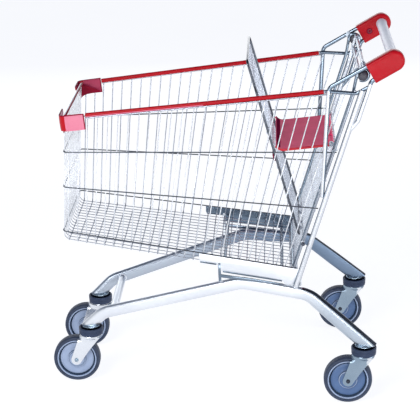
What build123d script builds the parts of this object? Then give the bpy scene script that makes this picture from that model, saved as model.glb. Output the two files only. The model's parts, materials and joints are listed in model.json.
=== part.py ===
from build123d import *
from math import atan, cos, degrees, hypot, radians, sin
import os

# A supermarket shopping cart, in millimetres. +X points to the handle, -X to the nose, +Y to the right
# of someone pushing it, and +Z up. The floor is Z = 0. The drawing's X = 0 is midway between the axles,
# and every piece is moved by -MIDDLE_X when it is saved, so the origin is under the middle of the cart.

# Casters
WHEEL_R = 62.5
WHEEL_X = 359.0          # axle's distance ahead of or behind the drawing's middle
TRAIL = 40.0             # axle's distance from its swivel axis, all four trailing towards the nose
RIM_R = 51.5
TYRE_W = 31.0
TREAD_BEND = 6.0
RIM_W = 27.0
HUB_R = 10.0
AXLE_R = 4.0
BOLT_R = 6.5             # across the corners of the axle's head and nut
BOLT_H = 5.0
FORK_T = 3.0
FORK_GAP = 36.0          # between the fork's blades
FOOT_R = 14.0            # round end of a blade, about the axle
CROWN_Z = 132.0          # top of the fork's crown
CROWN_R = 28.0
BOSS_R = 20.0            # raised boss on the crown
BOSS_H = 8.0
PIVOT_R = 6.0
PIVOT_NUT_R = 10.0
HEAD_Z = 158.0           # top of the caster head, where the leg is welded on
HEAD_R = 22.8            # disc under the leg
HEAD_T = 4.0
NECK_R = 17.0            # between the disc and the fork's boss
GUARD_R = 32.5
GUARD_H = 20.0
GUARD_BORE = 24.0
GUARD_DISH = 28.0        # radius of the wider bore at the guard's top
RUN = 0.05               # radial clearance of a running fit

# Chassis
FRONT_Y = 117.0          # front swivel axes, each side of the middle
LEG_SPLAY = 0.186        # how much a leg moves outwards per mm towards the rear
LEG_H = 33.0
LEG_W = 20.0
WALL = 2.0
LEG_BEND = 60.0
FRONT_SWIVEL_X = -WHEEL_X + TRAIL
REAR_SWIVEL_X = WHEEL_X + TRAIL
LEG_LINE = [(-341.0, 136.0), (-283.0, 194.0), (85.0, 304.0), (258.0, 283.5), (430.0, 138.0)]
CROSS_TUBE_X = -256.0
CROSS_TUBE_Z = 200.0
CROSS_TUBE_R = 11.0
UPRIGHT_R = 7.0
UPRIGHT_WALL = 1.5
UPRIGHT_FOOT = (225.0, 303.5)   # x and z
UPRIGHT_TOP_Z = 822.0
PLATE_T = 2.5
PLATE_EDGE = [(240, 303.5), (197, 308.5), (192, 317), (36, 340), (26, 342), (24, 359), (-22, 366)]
STRUT_X = 29.5
STRUT_W = 7.0
STRUT_T = 3.0
BASE_BAR_X = (41.0, 190.0)
BASE_BAR_R = 4.5

# Basket: each side is flat and leans a little outwards, y = SIDE_Y0 + SIDE_X * x + SIDE_Z * z
SIDE_Y0 = 190.3
SIDE_X = 0.060
SIDE_Z = 0.020
FRONT_X = -373.0         # front panel at the lowest band
FRONT_LEAN = 0.048       # towards the rear per mm of height
LOW_BAND = (440.3, -0.150)      # height at the front panel, rise per mm towards the rear
MIDDLE_BAND = (559.7, -0.072)
HIGH_BAND = (651.7, 0.013)
RAIL = (742.0, 0.1106)
FLOOR_DROP = 27.0        # floor below the lowest band
REAR_FOOT = (217.0, 339.0)      # rear edge of the side panels, x and z
REAR_LEAN = 0.313        # towards the rear per mm of height
WIRE_R = 1.9
BAND_R = 2.2
FINE_WIRE_R = 1.5        # the gate's and the backrest's upright wires
EDGE_R = 3.0
WELD = 0.4               # how far crossing wires sink into each other
SIDE_WIRES = 26
FLOOR_WIRES = 16
RAIL_R = 4.6
SLEEVE_R = 5.7
SLEEVE_END = 297.0
SLEEVE_SNUG = 0.02       # radial room between a red moulding and the rod in it
BUMPER_L = 62.0          # along the side
BUMPER_W = 71.0          # across the front
BUMPER_H = 40.0
BUMPER_T = 3.0
BUMPER_BEND = 13.0
BUMPER_OUT = 9.0         # outside the side panel
BUMPER_AHEAD = 8.0       # ahead of the front panel
BUMPER_ABOVE = 7.0       # above the rail's middle

# Handle
BAR_X, BAR_Z = 461.0, 896.0     # axis of the handle bar and middle of the caps' round ends
BAR_R = 13.5
CAP_Y = 235.0
CAP_H = 52.0
CAP_W = 32.0
CAP_L = 64.7             # from the round end's middle to the cap's flat end
CAP_TILT = 30.0
CAP_SOFT = 4.0           # rounding of the cap's edges
SCREW_R = 2.5
SCREW_HEAD_R = 5.0
SCREW_AT = (-38.0, -2.0)        # along the cap from the bar's axis, and up
LOOP_R = 5.5             # the bent rod that carries the handle
LOOP_HALF = 18.4         # half the distance between the rod's two runs in the cap
TOP_BAR_OFF = 12.7       # each gate top bar's distance from the hinge axis

# Gate, child seat
HINGE_X, HINGE_Z = 387.5, 855.0
GATE_TILT = 18.25        # bottom towards the nose, from upright
GATE_L = 540.0
GATE_TOP_Y = 207.0
GATE_LOW_Y = 184.0
GATE_FRAME_R = 4.0
GATE_PITCH = 24.0        # between upright wires
GATE_WIRES = 7           # each side of the middle one
TALL_WIRES = (0, 6, 7)   # counted from the middle, the ones that reach the top bars
GATE_BARS = (205.0, 290.0, 375.0, 461.0)        # cross bars, down from the hinge axis
EYE_R = 15.0             # ring at each end of the top bars
EYE_W = 10.0
EYE_OUT = 6.5            # middle of an eye outside GATE_TOP_Y
BUSH_R = 10.45
HINGE_PIN_R = 4.0
BRACKET_T = 3.0
BRACKET_FOOT = (372.0, 868.0)   # where the bracket meets the handle rod
PIVOT_OFF = 9.0          # seat and backrest pivots stand this far in front of the gate's wires
SEAT_AT = 205.0          # distance down the gate to the seat's pivot
BACKREST_AT = 461.0      # distance down the gate to the backrest's pivot
BACKREST_TILT = -15.95
BACKREST_L = 476.0
BACKREST_Y = 157.0
BACKREST_PITCH = 25.0
BACKREST_WIRES = 4       # each side of the middle one
BACKREST_BARS = (95.0, 190.0, 285.0, 380.0)     # cross bars, up from the pivot
LUG_W = 6.0
BACKREST_LUGS = (-91.0, -39.0, 39.0, 91.0)
STRIP_AT = 226.0         # up the backrest
SEAT_L = 135.0
SEAT_Y = 147.0
SEAT_T = 3.0
SEAT_TILT = -6.1
PIN_R = 3.0

MIDDLE_X = 32.75         # middle of the whole cart in the drawing


def side_y(x, z):
    return SIDE_Y0 + SIDE_X * x + SIDE_Z * z


def front_x(z):
    return FRONT_X + FRONT_LEAN * (z - LOW_BAND[0])


def level(band, x):
    return band[0] + band[1] * (x - FRONT_X)


def floor_z(x):
    return level(LOW_BAND, x) - FLOOR_DROP


def rear_x(z):
    return REAR_FOOT[0] + REAR_LEAN * (z - REAR_FOOT[1])


def leg_y(x):
    return FRONT_Y + LEG_SPLAY * (x - FRONT_SWIVEL_X)


def rod(a, b, r):
    a, b = Vector(*a), Vector(*b)
    along = b - a
    return Plane(origin=a, z_dir=along.normalized()) * Cylinder(
        r, along.length, align=(Align.CENTER, Align.CENTER, Align.MIN)
    )


def bent_rod(points, r, bend):
    path = FilletPolyline(*points, radius=bend)
    start = Plane(origin=path @ 0, z_dir=path % 0)
    return sweep(start * Circle(r), path=path)


def drum(r, low, high, x=0.0, y=0.0):
    return Pos(x, y, low) * Cylinder(r, high - low, align=(Align.CENTER, Align.CENTER, Align.MIN))


def cross_drum(r, low, high, x, z):
    return rod((x, low, z), (x, high, z), r)


def other_side(part):
    return part.mirror(Plane.XZ)


def welded(pieces):
    return pieces[0].fuse(*pieces[1:])


# ---------------------------------------------------------------- casters, drawn about their swivel axis

def caster_head():
    neck_top = HEAD_Z - HEAD_T
    head = drum(HEAD_R, neck_top, HEAD_Z) + drum(NECK_R, CROWN_Z + BOSS_H + 0.5, neck_top)
    pivot = drum(PIVOT_R, CROWN_Z - 10, neck_top) + drum(PIVOT_NUT_R, CROWN_Z - 12, CROWN_Z - 4.5)
    return head + pivot


def fork():
    outline = Pos(-TRAIL, WHEEL_R) * Circle(FOOT_R)
    top = Pos(-2, CROWN_Z - FORK_T / 2) * Rectangle(54, FORK_T)
    blade = make_hull(outline.edges() + top.edges())
    blade = extrude(Plane.XZ * blade, amount=FORK_T)
    inner = FORK_GAP / 2
    near = Pos(0, -inner, 0) * blade
    far = Pos(0, inner + FORK_T, 0) * blade
    crown = drum(CROWN_R, CROWN_Z - FORK_T, CROWN_Z) + drum(BOSS_R, CROWN_Z, CROWN_Z + BOSS_H)
    whole = crown + near + far
    whole -= drum(PIVOT_R + RUN, 0, HEAD_Z)
    return whole - cross_drum(AXLE_R + RUN, -50, 50, -TRAIL, WHEEL_R)


def guard():
    ring = drum(GUARD_R, CROWN_Z, CROWN_Z + GUARD_H)
    ring = ring - drum(GUARD_DISH, CROWN_Z + 12, HEAD_Z) - drum(GUARD_BORE, 0, HEAD_Z)
    rims = ring.edges().filter_by(GeomType.CIRCLE).sort_by(SortBy.RADIUS)
    return fillet(rims[-2:], 1.5)


def axle():
    half = FORK_GAP / 2 + FORK_T
    bolt = cross_drum(AXLE_R, -half - 1, half + BOLT_H + 1, -TRAIL, WHEEL_R)
    hexagon = extrude(Plane.XZ * RegularPolygon(BOLT_R, 6), amount=BOLT_H)
    head = Pos(-TRAIL, -half, WHEEL_R) * hexagon
    nut = Pos(-TRAIL, half + BOLT_H, WHEEL_R) * hexagon
    return Compound(children=[bolt + head, nut - cross_drum(AXLE_R, 0, 60, -TRAIL, WHEEL_R)])


def turned(profile):
    """A wheel part from half its section: radius along X, width along Y."""
    part = revolve(profile, axis=Axis.Y)
    return Pos(-TRAIL, 0, WHEEL_R) * part


def rim():
    half, dish, hub = RIM_W / 2, 8.0, FORK_GAP / 2 - 0.6
    side = [(AXLE_R + RUN, hub), (HUB_R, hub), (22, half - 2), (24, dish)]
    side += [(43, dish), (45, half), (RIM_R, half)]
    far = [(r, -w) for r, w in reversed(side)]
    return turned(make_face(Polyline(*side, *far, close=True)))


def tyre():
    half = TYRE_W / 2
    ring = Pos((RIM_R + WHEEL_R) / 2, 0) * Rectangle(WHEEL_R - RIM_R, TYRE_W)
    outer = ring.vertices().sort_by(Axis.X)[-2:]
    return turned(fillet(outer, TREAD_BEND))


# ---------------------------------------------------------------- chassis

def leg():
    stretch = hypot(1, LEG_SPLAY)
    points = [((x - FRONT_SWIVEL_X) * stretch, 0, z) for x, z in LEG_LINE]
    path = FilletPolyline(*points, radius=LEG_BEND)
    start = Plane(origin=path @ 0, x_dir=(0, 1, 0), z_dir=path % 0)
    tube = sweep(start * SlotOverall(LEG_H, LEG_W, rotation=90), path=path)
    tube -= sweep(start * SlotOverall(LEG_H - 2 * WALL, LEG_W - 2 * WALL, rotation=90), path=path)
    tube = tube - Pos(0, 0, HEAD_Z - 100) * Box(2000, 200, 200)
    return Pos(FRONT_SWIVEL_X, -FRONT_Y, 0) * tube.rotate(Axis.Z, -degrees(atan(LEG_SPLAY)))


def front_cross_tube():
    reach = leg_y(CROSS_TUBE_X) - LEG_W / 2 + 0.3
    whole = cross_drum(CROSS_TUBE_R, -reach, reach, CROSS_TUBE_X, CROSS_TUBE_Z)
    return whole - cross_drum(CROSS_TUBE_R - WALL, -reach, reach, CROSS_TUBE_X, CROSS_TUBE_Z)


def side_plate():
    rear_x, nose_x = PLATE_EDGE[0][0], PLATE_EDGE[-1][0]
    corners = [(nose_x, level(LOW_BAND, nose_x)), (rear_x, level(LOW_BAND, rear_x)), *PLATE_EDGE]
    points = [(x, -(side_y(x, z) + BAND_R), z) for x, z in corners]
    plate = extrude(make_face(Polyline(*points, close=True)), amount=PLATE_T, dir=(0, -1, 0))
    return (plate - rod(*upright_ends(), UPRIGHT_R)).solids().sort_by(SortBy.VOLUME)[-1]


def front_strut():
    top_z, bend_z, foot_z = 364.0, 350.0, 303.0
    top_y, foot_y = side_y(STRUT_X, bend_z) + BAND_R, leg_y(STRUT_X) + 2.0
    corners = [(-top_y, top_z), (-top_y, bend_z), (-foot_y, foot_z + 3), (-foot_y, foot_z)]
    corners += [(-foot_y + STRUT_T, foot_z), (-foot_y + STRUT_T, foot_z + 4)]
    corners += [(-top_y + STRUT_T, bend_z), (-top_y + STRUT_T, top_z)]
    points = [(STRUT_X - STRUT_W / 2, y, z) for y, z in corners]
    return extrude(make_face(Polyline(*points, close=True)), amount=STRUT_W, dir=(1, 0, 0))


def base_bar(x):
    z = floor_z(x) - WIRE_R - BASE_BAR_R
    reach = side_y(x, z) + BAND_R
    return cross_drum(BASE_BAR_R, -reach, reach, x, z)


def upright_ends():
    foot_x, foot_z = UPRIGHT_FOOT
    top_x = foot_x + REAR_LEAN * (UPRIGHT_TOP_Z - foot_z) - 2.0
    out = BAND_R + UPRIGHT_R - WELD
    a = (foot_x, -(side_y(foot_x, foot_z) + out), foot_z)
    b = (top_x, -(side_y(top_x, UPRIGHT_TOP_Z) + out), UPRIGHT_TOP_Z)
    return a, b


def upright():
    return rod(*upright_ends(), UPRIGHT_R) - rod(*upright_ends(), UPRIGHT_R - UPRIGHT_WALL)


# ---------------------------------------------------------------- basket

def side_wires():
    """Bottom x and top x of each side wire, which leans more the nearer it is to the rear."""
    first = front_x(floor_z(FRONT_X)) + 14.0
    last = REAR_FOOT[0] - 4.0
    out = []
    for i in range(SIDE_WIRES):
        share = i / (SIDE_WIRES - 1)
        low = first + (last - first) * share
        lean = FRONT_LEAN + (REAR_LEAN - FRONT_LEAN) * share ** 1.4
        rise = (level(RAIL, low) - floor_z(low)) / (1 - RAIL[1] * lean)
        out.append((low, low + lean * rise))
    return out


def side_mesh(side):
    """side is -1 for the left and 1 for the right."""
    inset = BAND_R + WIRE_R - WELD
    pieces = []
    for i, (low, high) in enumerate(side_wires()):
        r = EDGE_R if i == SIDE_WIRES - 1 else WIRE_R
        low_z, high_z = floor_z(low), level(RAIL, high) - RAIL_R + WELD
        a = (low, side * (side_y(low, low_z) - inset), low_z)
        b = (high, side * (side_y(high, high_z) - inset + 3.0), high_z)
        pieces.append(rod(a, b, r))
    for band in (LOW_BAND, MIDDLE_BAND, HIGH_BAND):
        x0 = front_x(band[0])
        x1 = rear_x(band[0] + band[1] * 600) + 8.0
        ends = [(x, side * side_y(x, level(band, x)), level(band, x)) for x in (x0, x1)]
        pieces.append(rod(*ends, BAND_R))
    return welded(pieces)


def front_mesh():
    top, low = level(RAIL, FRONT_X), floor_z(FRONT_X)
    inset = BAND_R + WIRE_R - WELD
    pieces = []
    for i in range(FLOOR_WIRES):
        share = 2 * (i + 0.5) / FLOOR_WIRES - 1
        a = (front_x(low) + inset, share * side_y(FRONT_X, low), low)
        b = (front_x(top) + inset, share * side_y(FRONT_X, top), top - RAIL_R + WELD)
        pieces.append(rod(a, b, WIRE_R))
    for band in (LOW_BAND, MIDDLE_BAND, HIGH_BAND):
        z = band[0]
        reach = side_y(FRONT_X, z) - BAND_R
        pieces.append(cross_drum(BAND_R, -reach, reach, front_x(z), z))
    return welded(pieces)


def floor_mesh():
    inset = BAND_R + WIRE_R - WELD
    lift = 2 * WIRE_R - WELD
    pieces = []
    for low, _ in side_wires():
        z = floor_z(low)
        reach = side_y(low, z) - inset
        pieces.append(cross_drum(WIRE_R, -reach, reach, low, z))
    for i in range(FLOOR_WIRES):
        share = 2 * (i + 0.5) / FLOOR_WIRES - 1
        ends = []
        for x in (front_x(floor_z(FRONT_X)) + inset, REAR_FOOT[0] + 1.0):
            z = floor_z(x) + lift
            ends.append((x, share * (side_y(x, z) - inset), z))
        pieces.append(rod(*ends, WIRE_R))
    return welded(pieces)


def rail_point(x):
    z = level(RAIL, x)
    return (x, -side_y(x, z), z)


def top_rail():
    """From the nose along the side, bare behind the sleeve, then up to the handle rod."""
    start = rail_point(front_x(RAIL[0]) + 12.0)
    knee = rail_point(SLEEVE_END + 6.0)
    low = (372.0, -(side_y(372, 813) + 0.5), 812.0)
    end = (401.0, -(side_y(401, 832) + 2.0), 829.0)
    return bent_rod([start, knee, low, end], RAIL_R, 14.0)


def rail_sleeve():
    ends = [rail_point(front_x(RAIL[0]) + BUMPER_L - 4.0), rail_point(SLEEVE_END)]
    slot = [(x, y + 0.7, z - SLEEVE_R) for x, y, z in ends]
    return rod(*ends, SLEEVE_R) - rod(*ends, RAIL_R + SLEEVE_SNUG) - rod(*slot, WIRE_R + 0.5)


def front_top_rail():
    x = front_x(RAIL[0])
    reach = side_y(x, RAIL[0]) - 14.0
    return cross_drum(RAIL_R, -reach, reach, x + 3.0, RAIL[0])


def bumper_corner(inset, reach):
    """Plan of the bumper from its own outer corner, its side leaning outwards to the rear."""
    side_end = (reach, inset - SIDE_X * (reach - inset))
    plan = make_face(Polyline((inset, inset), side_end, (reach, reach), (inset, reach), close=True))
    corner = plan.vertices().sort_by(Axis.X)[:2].sort_by(Axis.Y)[:1]
    return fillet(corner, BUMPER_BEND - inset)


def corner_bumper():
    """An angle wrapped round the corner, with a gusset on top, tilted with the rail."""
    outer = bumper_corner(0, BUMPER_W)
    inside = bumper_corner(BUMPER_T, BUMPER_W)
    out = -BUMPER_OUT
    square = [(out, out), (BUMPER_L, out), (BUMPER_L, BUMPER_W), (out, BUMPER_W)]
    walls = extrude((outer - inside) & make_face(Polyline(*square, close=True)), amount=BUMPER_H)
    ridge = [(out, out), (BUMPER_L, out), (BUMPER_L, 8), (8, BUMPER_L), (out, BUMPER_L)]
    gusset = extrude(outer & make_face(Polyline(*ridge, close=True)), amount=BUMPER_T)
    bumper = Pos(0, 0, -BUMPER_H) * walls + Pos(0, 0, -BUMPER_T) * gusset
    x = front_x(RAIL[0]) - BUMPER_AHEAD
    z = level(RAIL, x) + BUMPER_ABOVE
    place = Pos(x, -side_y(x, z) - BUMPER_OUT, z)
    return place * bumper.rotate(Axis.Y, -degrees(atan(RAIL[1])))


def rear_sill():
    away = 2 * GATE_FRAME_R + 0.4
    x, z = gate_point(GATE_L, -away)
    reach = side_y(x, z) + BAND_R + 0.3
    return cross_drum(GATE_FRAME_R, -reach, reach, x, z)


# ---------------------------------------------------------------- handle

def cap_frame():
    """Plane across the cap: its X runs from the cap's flat end to its round end."""
    along = (cos(radians(CAP_TILT)), 0, sin(radians(CAP_TILT)))
    return Plane(origin=(BAR_X, -CAP_Y, BAR_Z), x_dir=along, z_dir=(0, -1, 0))


def loop_point(along, up, y=-CAP_Y):
    c, s = cos(radians(CAP_TILT)), sin(radians(CAP_TILT))
    return (BAR_X + along * c - up * s, y, BAR_Z + along * s + up * c)


def handle_loop(r=LOOP_R):
    """One bent rod: up the upright, over the kink, round the cap and back down to the upright."""
    points = [(290.0, -(side_y(290, 548) + 7.0), 545.0)]
    points += [(304.6, -(side_y(304, 828) + 8.5), 828.0)]
    points += [loop_point(LOOP_HALF, LOOP_HALF), loop_point(LOOP_HALF, -LOOP_HALF)]
    points += [loop_point(-LOOP_HALF * 3.95, -LOOP_HALF)]
    points += [(376.0, -(side_y(376, 745) + 7.0), 744.0), (354.5, -(side_y(350, 715) + 8.6), 718.0)]
    return bent_rod(points, r, LOOP_HALF - 0.2)


def cap_body():
    flat = Pos(-CAP_L / 2, 0) * Rectangle(CAP_L, CAP_H)
    outline = flat + Circle(CAP_H / 2)
    body = extrude(cap_frame() * outline, amount=CAP_W / 2, both=True)
    return fillet(body.edges().filter_by(Axis.Y, reverse=True), CAP_SOFT)


def handle_cap():
    bore = cross_drum(BAR_R + RUN, -bar_reach(), 0, BAR_X, BAR_Z)
    screw = cross_drum(SCREW_R, -CAP_Y - 2, 0, *screw_axis())
    return cap_body() - handle_loop(LOOP_R + SLEEVE_SNUG) - bore - screw


def bar_reach():
    return CAP_Y - LOOP_R - 1.5


def handle_bar():
    reach = bar_reach() - 0.2
    whole = cross_drum(BAR_R, -reach, reach, BAR_X, BAR_Z)
    return whole - cross_drum(BAR_R - WALL, -reach, reach, BAR_X, BAR_Z)


def screw_axis():
    x, _, z = loop_point(*SCREW_AT)
    return x, z


def cap_screw():
    x, z = screw_axis()
    inner = -CAP_Y + CAP_W / 2
    shank = cross_drum(SCREW_R, -CAP_Y - 2, inner + 1, x, z)
    return shank + cross_drum(SCREW_HEAD_R, inner, inner + SCREW_R, x, z)


# ---------------------------------------------------------------- gate

def gate_point(down, forward=0.0):
    """x and z of a point on the gate: down from its hinge, forward of its plane towards the nose."""
    c, s = cos(radians(GATE_TILT)), sin(radians(GATE_TILT))
    return HINGE_X - down * s - forward * c, HINGE_Z - down * c + forward * s


def gate_y(down):
    return GATE_TOP_Y + (GATE_LOW_Y - GATE_TOP_Y) * down / GATE_L


def gate_rod(start, end, r, forward=0.0):
    """A rod on the gate between two (down, y) points."""
    ends = []
    for down, y in (start, end):
        x, z = gate_point(down, forward)
        ends.append((x, y, z))
    return rod(*ends, r)


def gate_top_bars():
    """Two bars, one each side of the hinge axis, welded to an eye at each end."""
    reach = GATE_TOP_Y + 2.0
    pieces = []
    for down in (-TOP_BAR_OFF, TOP_BAR_OFF):
        pieces.append(gate_rod((down, -reach), (down, reach), GATE_FRAME_R))
    for side in (-1, 1):
        y = side * (GATE_TOP_Y + EYE_OUT)
        eye = cross_drum(EYE_R, y - EYE_W / 2, y + EYE_W / 2, HINGE_X, HINGE_Z)
        pieces.append(eye - cross_drum(BUSH_R + RUN, y - EYE_W, y + EYE_W, HINGE_X, HINGE_Z))
    return welded(pieces)


def gate_mesh():
    pieces = []
    for side in (-1, 1):
        top, foot = (TOP_BAR_OFF, side * gate_y(TOP_BAR_OFF)), (GATE_L, side * GATE_LOW_Y)
        pieces.append(gate_rod(top, foot, GATE_FRAME_R))
    pieces.append(gate_rod((GATE_L, -GATE_LOW_Y), (GATE_L, GATE_LOW_Y), GATE_FRAME_R))
    behind = -(FINE_WIRE_R + BAND_R - WELD)
    for down in GATE_BARS:
        pieces.append(gate_rod((down, -gate_y(down)), (down, gate_y(down)), BAND_R, behind))
    for i in range(-GATE_WIRES, GATE_WIRES + 1):
        y = GATE_PITCH * i
        top = TOP_BAR_OFF + 2.0 if abs(i) in TALL_WIRES else SEAT_AT
        pieces.append(gate_rod((top, y), (GATE_L, y), FINE_WIRE_R))
    return welded(pieces)


def hinge_bush():
    y = -(GATE_TOP_Y + EYE_OUT)
    bush = cross_drum(BUSH_R, y - 7, y + 4, HINGE_X, HINGE_Z)
    return bush - cross_drum(HINGE_PIN_R + RUN, y - 8, y + 6, HINGE_X, HINGE_Z)


def hinge_bracket():
    """The pin that a gate eye turns on, on a plate welded to the handle rod."""
    low_y = -(GATE_TOP_Y + EYE_OUT + 7.0) - 0.4
    plate_y = low_y - BRACKET_T
    pin = cross_drum(HINGE_PIN_R, plate_y, -(GATE_TOP_Y + 2.0), HINGE_X, HINGE_Z)
    knob = Pos(HINGE_X, HINGE_Z) * Circle(9)
    hook = Pos(*BRACKET_FOOT) * Circle(7)
    outline = make_hull(knob.edges() + hook.edges())
    plate = Pos(0, low_y, 0) * extrude(Plane.XZ * outline, amount=BRACKET_T)
    stub = cross_drum(5, -(side_y(*BRACKET_FOOT) + 0.2), plate_y, *BRACKET_FOOT)
    return pin + plate + stub


def pivot_lug(down, y, bore):
    """A drilled lug that carries a pivot in front of the gate's wires."""
    x, z = gate_point(down, PIVOT_OFF)
    eye = cross_drum(bore + 3.4, y - LUG_W / 2, y + LUG_W / 2, x, z)
    foot_x, foot_z = gate_point(down, (PIVOT_OFF - 6) / 2)
    foot = Pos(foot_x, y, foot_z) * Rot(0, GATE_TILT, 0) * Box(PIVOT_OFF + 6, LUG_W, 7)
    return eye + foot - cross_drum(bore, y - LUG_W, y + LUG_W, x, z)


def seat_pin():
    x, z = gate_point(SEAT_AT, PIVOT_OFF)
    return cross_drum(PIN_R, -SEAT_Y - 8, SEAT_Y + 8, x, z)


def pivot_lugs():
    lugs = [pivot_lug(SEAT_AT, side * (SEAT_Y + 4.5), PIN_R) for side in (-1, 1)]
    lugs += [pivot_lug(BACKREST_AT, y, PIN_R + RUN) for y in BACKREST_LUGS]
    return Compound(children=lugs)


# ---------------------------------------------------------------- child seat

def backrest_point(up, back=0.0):
    x0, z0 = gate_point(BACKREST_AT, PIVOT_OFF)
    c, s = cos(radians(BACKREST_TILT)), sin(radians(BACKREST_TILT))
    return x0 + up * s - back * c, z0 + up * c + back * s


def backrest_rod(start, end, r, back=0.0):
    ends = []
    for up, y in (start, end):
        x, z = backrest_point(up, back)
        ends.append((x, y, z))
    return rod(*ends, r)


def backrest():
    pieces = [backrest_rod((0, -BACKREST_Y), (0, BACKREST_Y), PIN_R)]
    for side in (-1, 1):
        pieces.append(backrest_rod((0, side * BACKREST_Y), (BACKREST_L, side * BACKREST_Y), EDGE_R))
    pieces.append(backrest_rod((BACKREST_L, -BACKREST_Y), (BACKREST_L, BACKREST_Y), EDGE_R))
    behind = FINE_WIRE_R + BAND_R - WELD
    for up in BACKREST_BARS:
        pieces.append(backrest_rod((up, -BACKREST_Y), (up, BACKREST_Y), BAND_R, behind))
    for i in range(-BACKREST_WIRES, BACKREST_WIRES + 1):
        y = BACKREST_PITCH * i
        pieces.append(backrest_rod((0, y), (BACKREST_L, y), FINE_WIRE_R))
    return welded(pieces)


def seat_strip():
    """A plastic strip clipped on the backrest's wires, under the seat's front lip."""
    x, z = backrest_point(STRIP_AT, FINE_WIRE_R + 3.0)
    strip = Pos(x, 0, z) * Rot(0, BACKREST_TILT, 0) * Box(6, 2 * SEAT_Y, 26)
    return fillet(strip.edges().filter_by(Axis.Y), 2)


def seat():
    """Knuckle on the pivot, a flat flap towards the nose, and a lip turned up at its front edge."""
    x, z = gate_point(SEAT_AT, PIVOT_OFF)
    knuckle = cross_drum(PIN_R + 3.4, -SEAT_Y, SEAT_Y, 0, 0)
    flap = Pos(-SEAT_L / 2, 0, -PIN_R - 1.5) * Box(SEAT_L, 2 * SEAT_Y, SEAT_T)
    lip = Pos(-SEAT_L + SEAT_T / 2, 0, -PIN_R + 2) * Box(SEAT_T, 2 * SEAT_Y, 10)
    part = knuckle + flap + lip - cross_drum(PIN_R + RUN, -200, 200, 0, 0)
    return Pos(x, 0, z) * part.rotate(Axis.Y, SEAT_TILT)


# ---------------------------------------------------------------- saving

def save(name, part):
    pieces = [s.moved(Location((-MIDDLE_X, 0, 0))) for s in part.solids()]
    kept = pieces[0] if len(pieces) == 1 else Compound(children=pieces)
    export_step(kept, f"parts/{name}.step")
    print(name, len(pieces), round(sum(s.volume for s in pieces)))


def save_pair(name, left):
    save(name + "_left", left)
    save(name + "_right", other_side(left))


def both_sides(left):
    return Compound(children=[left, other_side(left)])


def caster_places():
    for end, x in (("front", FRONT_SWIVEL_X), ("rear", REAR_SWIVEL_X)):
        y = leg_y(x)
        for side, sign in (("left", -1), ("right", 1)):
            yield f"{end}_{side}", Pos(x, sign * y, 0)


def main():
    os.makedirs("parts", exist_ok=True)
    caster = {"fork": fork(), "guard": guard(), "axle": axle(), "rim": rim(), "tyre": tyre()}
    for name, place in caster_places():
        for kind, part in caster.items():
            save(f"{kind}_{name}", place * part)
    save("caster_heads", Compound(children=[place * caster_head() for _, place in caster_places()]))
    save_pair("leg", leg())
    save("front_cross_tube", front_cross_tube())
    save_pair("side_plate", side_plate())
    save("front_struts", both_sides(front_strut()))
    save("base_bars", Compound(children=[base_bar(x) for x in BASE_BAR_X]))
    save_pair("upright", upright())
    save("side_mesh_left", side_mesh(-1))
    save("side_mesh_right", side_mesh(1))
    save("front_mesh", front_mesh())
    save("floor_mesh", floor_mesh())
    save_pair("top_rail", top_rail())
    save_pair("rail_sleeve", rail_sleeve())
    save("front_top_rail", front_top_rail())
    save_pair("corner_bumper", corner_bumper())
    save("rear_sill", rear_sill())
    save_pair("handle_loop", handle_loop())
    save_pair("handle_cap", handle_cap())
    save("handle_bar", handle_bar())
    save("cap_screws", both_sides(cap_screw()))
    save("hinge_brackets", both_sides(hinge_bracket()))
    save("gate_top_bars", gate_top_bars())
    save("gate_mesh", gate_mesh())
    save("hinge_bushes", both_sides(hinge_bush()))
    save("pivot_lugs", pivot_lugs())
    save("seat_pin", seat_pin())
    save("backrest", backrest())
    save("seat_strip", seat_strip())
    save("seat", seat())


main()
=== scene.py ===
import json
import math
import bmesh
import bpy
import numpy as np
from mathutils import Matrix, Vector


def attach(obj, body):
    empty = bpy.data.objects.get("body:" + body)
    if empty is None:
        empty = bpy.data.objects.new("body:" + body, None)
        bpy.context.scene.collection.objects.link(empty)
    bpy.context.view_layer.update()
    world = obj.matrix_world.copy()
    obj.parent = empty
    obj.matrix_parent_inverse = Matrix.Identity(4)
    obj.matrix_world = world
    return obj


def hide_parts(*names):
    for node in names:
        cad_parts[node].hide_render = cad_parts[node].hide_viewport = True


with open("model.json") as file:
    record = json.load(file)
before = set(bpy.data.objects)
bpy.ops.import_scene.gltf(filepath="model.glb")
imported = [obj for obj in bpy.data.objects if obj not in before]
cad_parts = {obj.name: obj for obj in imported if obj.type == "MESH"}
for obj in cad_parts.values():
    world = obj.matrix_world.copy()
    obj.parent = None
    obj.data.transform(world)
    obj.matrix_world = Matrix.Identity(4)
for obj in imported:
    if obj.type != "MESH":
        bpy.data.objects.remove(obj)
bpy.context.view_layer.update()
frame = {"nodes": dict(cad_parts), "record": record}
nodes = frame["nodes"]

# Sizes and places are in millimetres, in the cart's drawing frame: X = 0 is midway between the axles,
# -X is the nose, -Y is the left side and Z = 0 is the floor. Pieces are moved by -MIDDLE_X and scaled
# when they are made.
MM = 0.001
MIDDLE_X = 32.75
SIDES = ((-1, "left"), (1, "right"))

# Casters
WHEEL_R = 62.5
TRAIL = 40.0
FORK_HALF = 18.0         # from the middle to a fork blade's inner face
FORK_T = 3.0
HEAD_Z = 158.0
CASTERS = {
    "front_left": (-319.0, -117.0),
    "front_right": (-319.0, 117.0),
    "rear_left": (399.0, -250.5),
    "rear_right": (399.0, 250.5),
}

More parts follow.
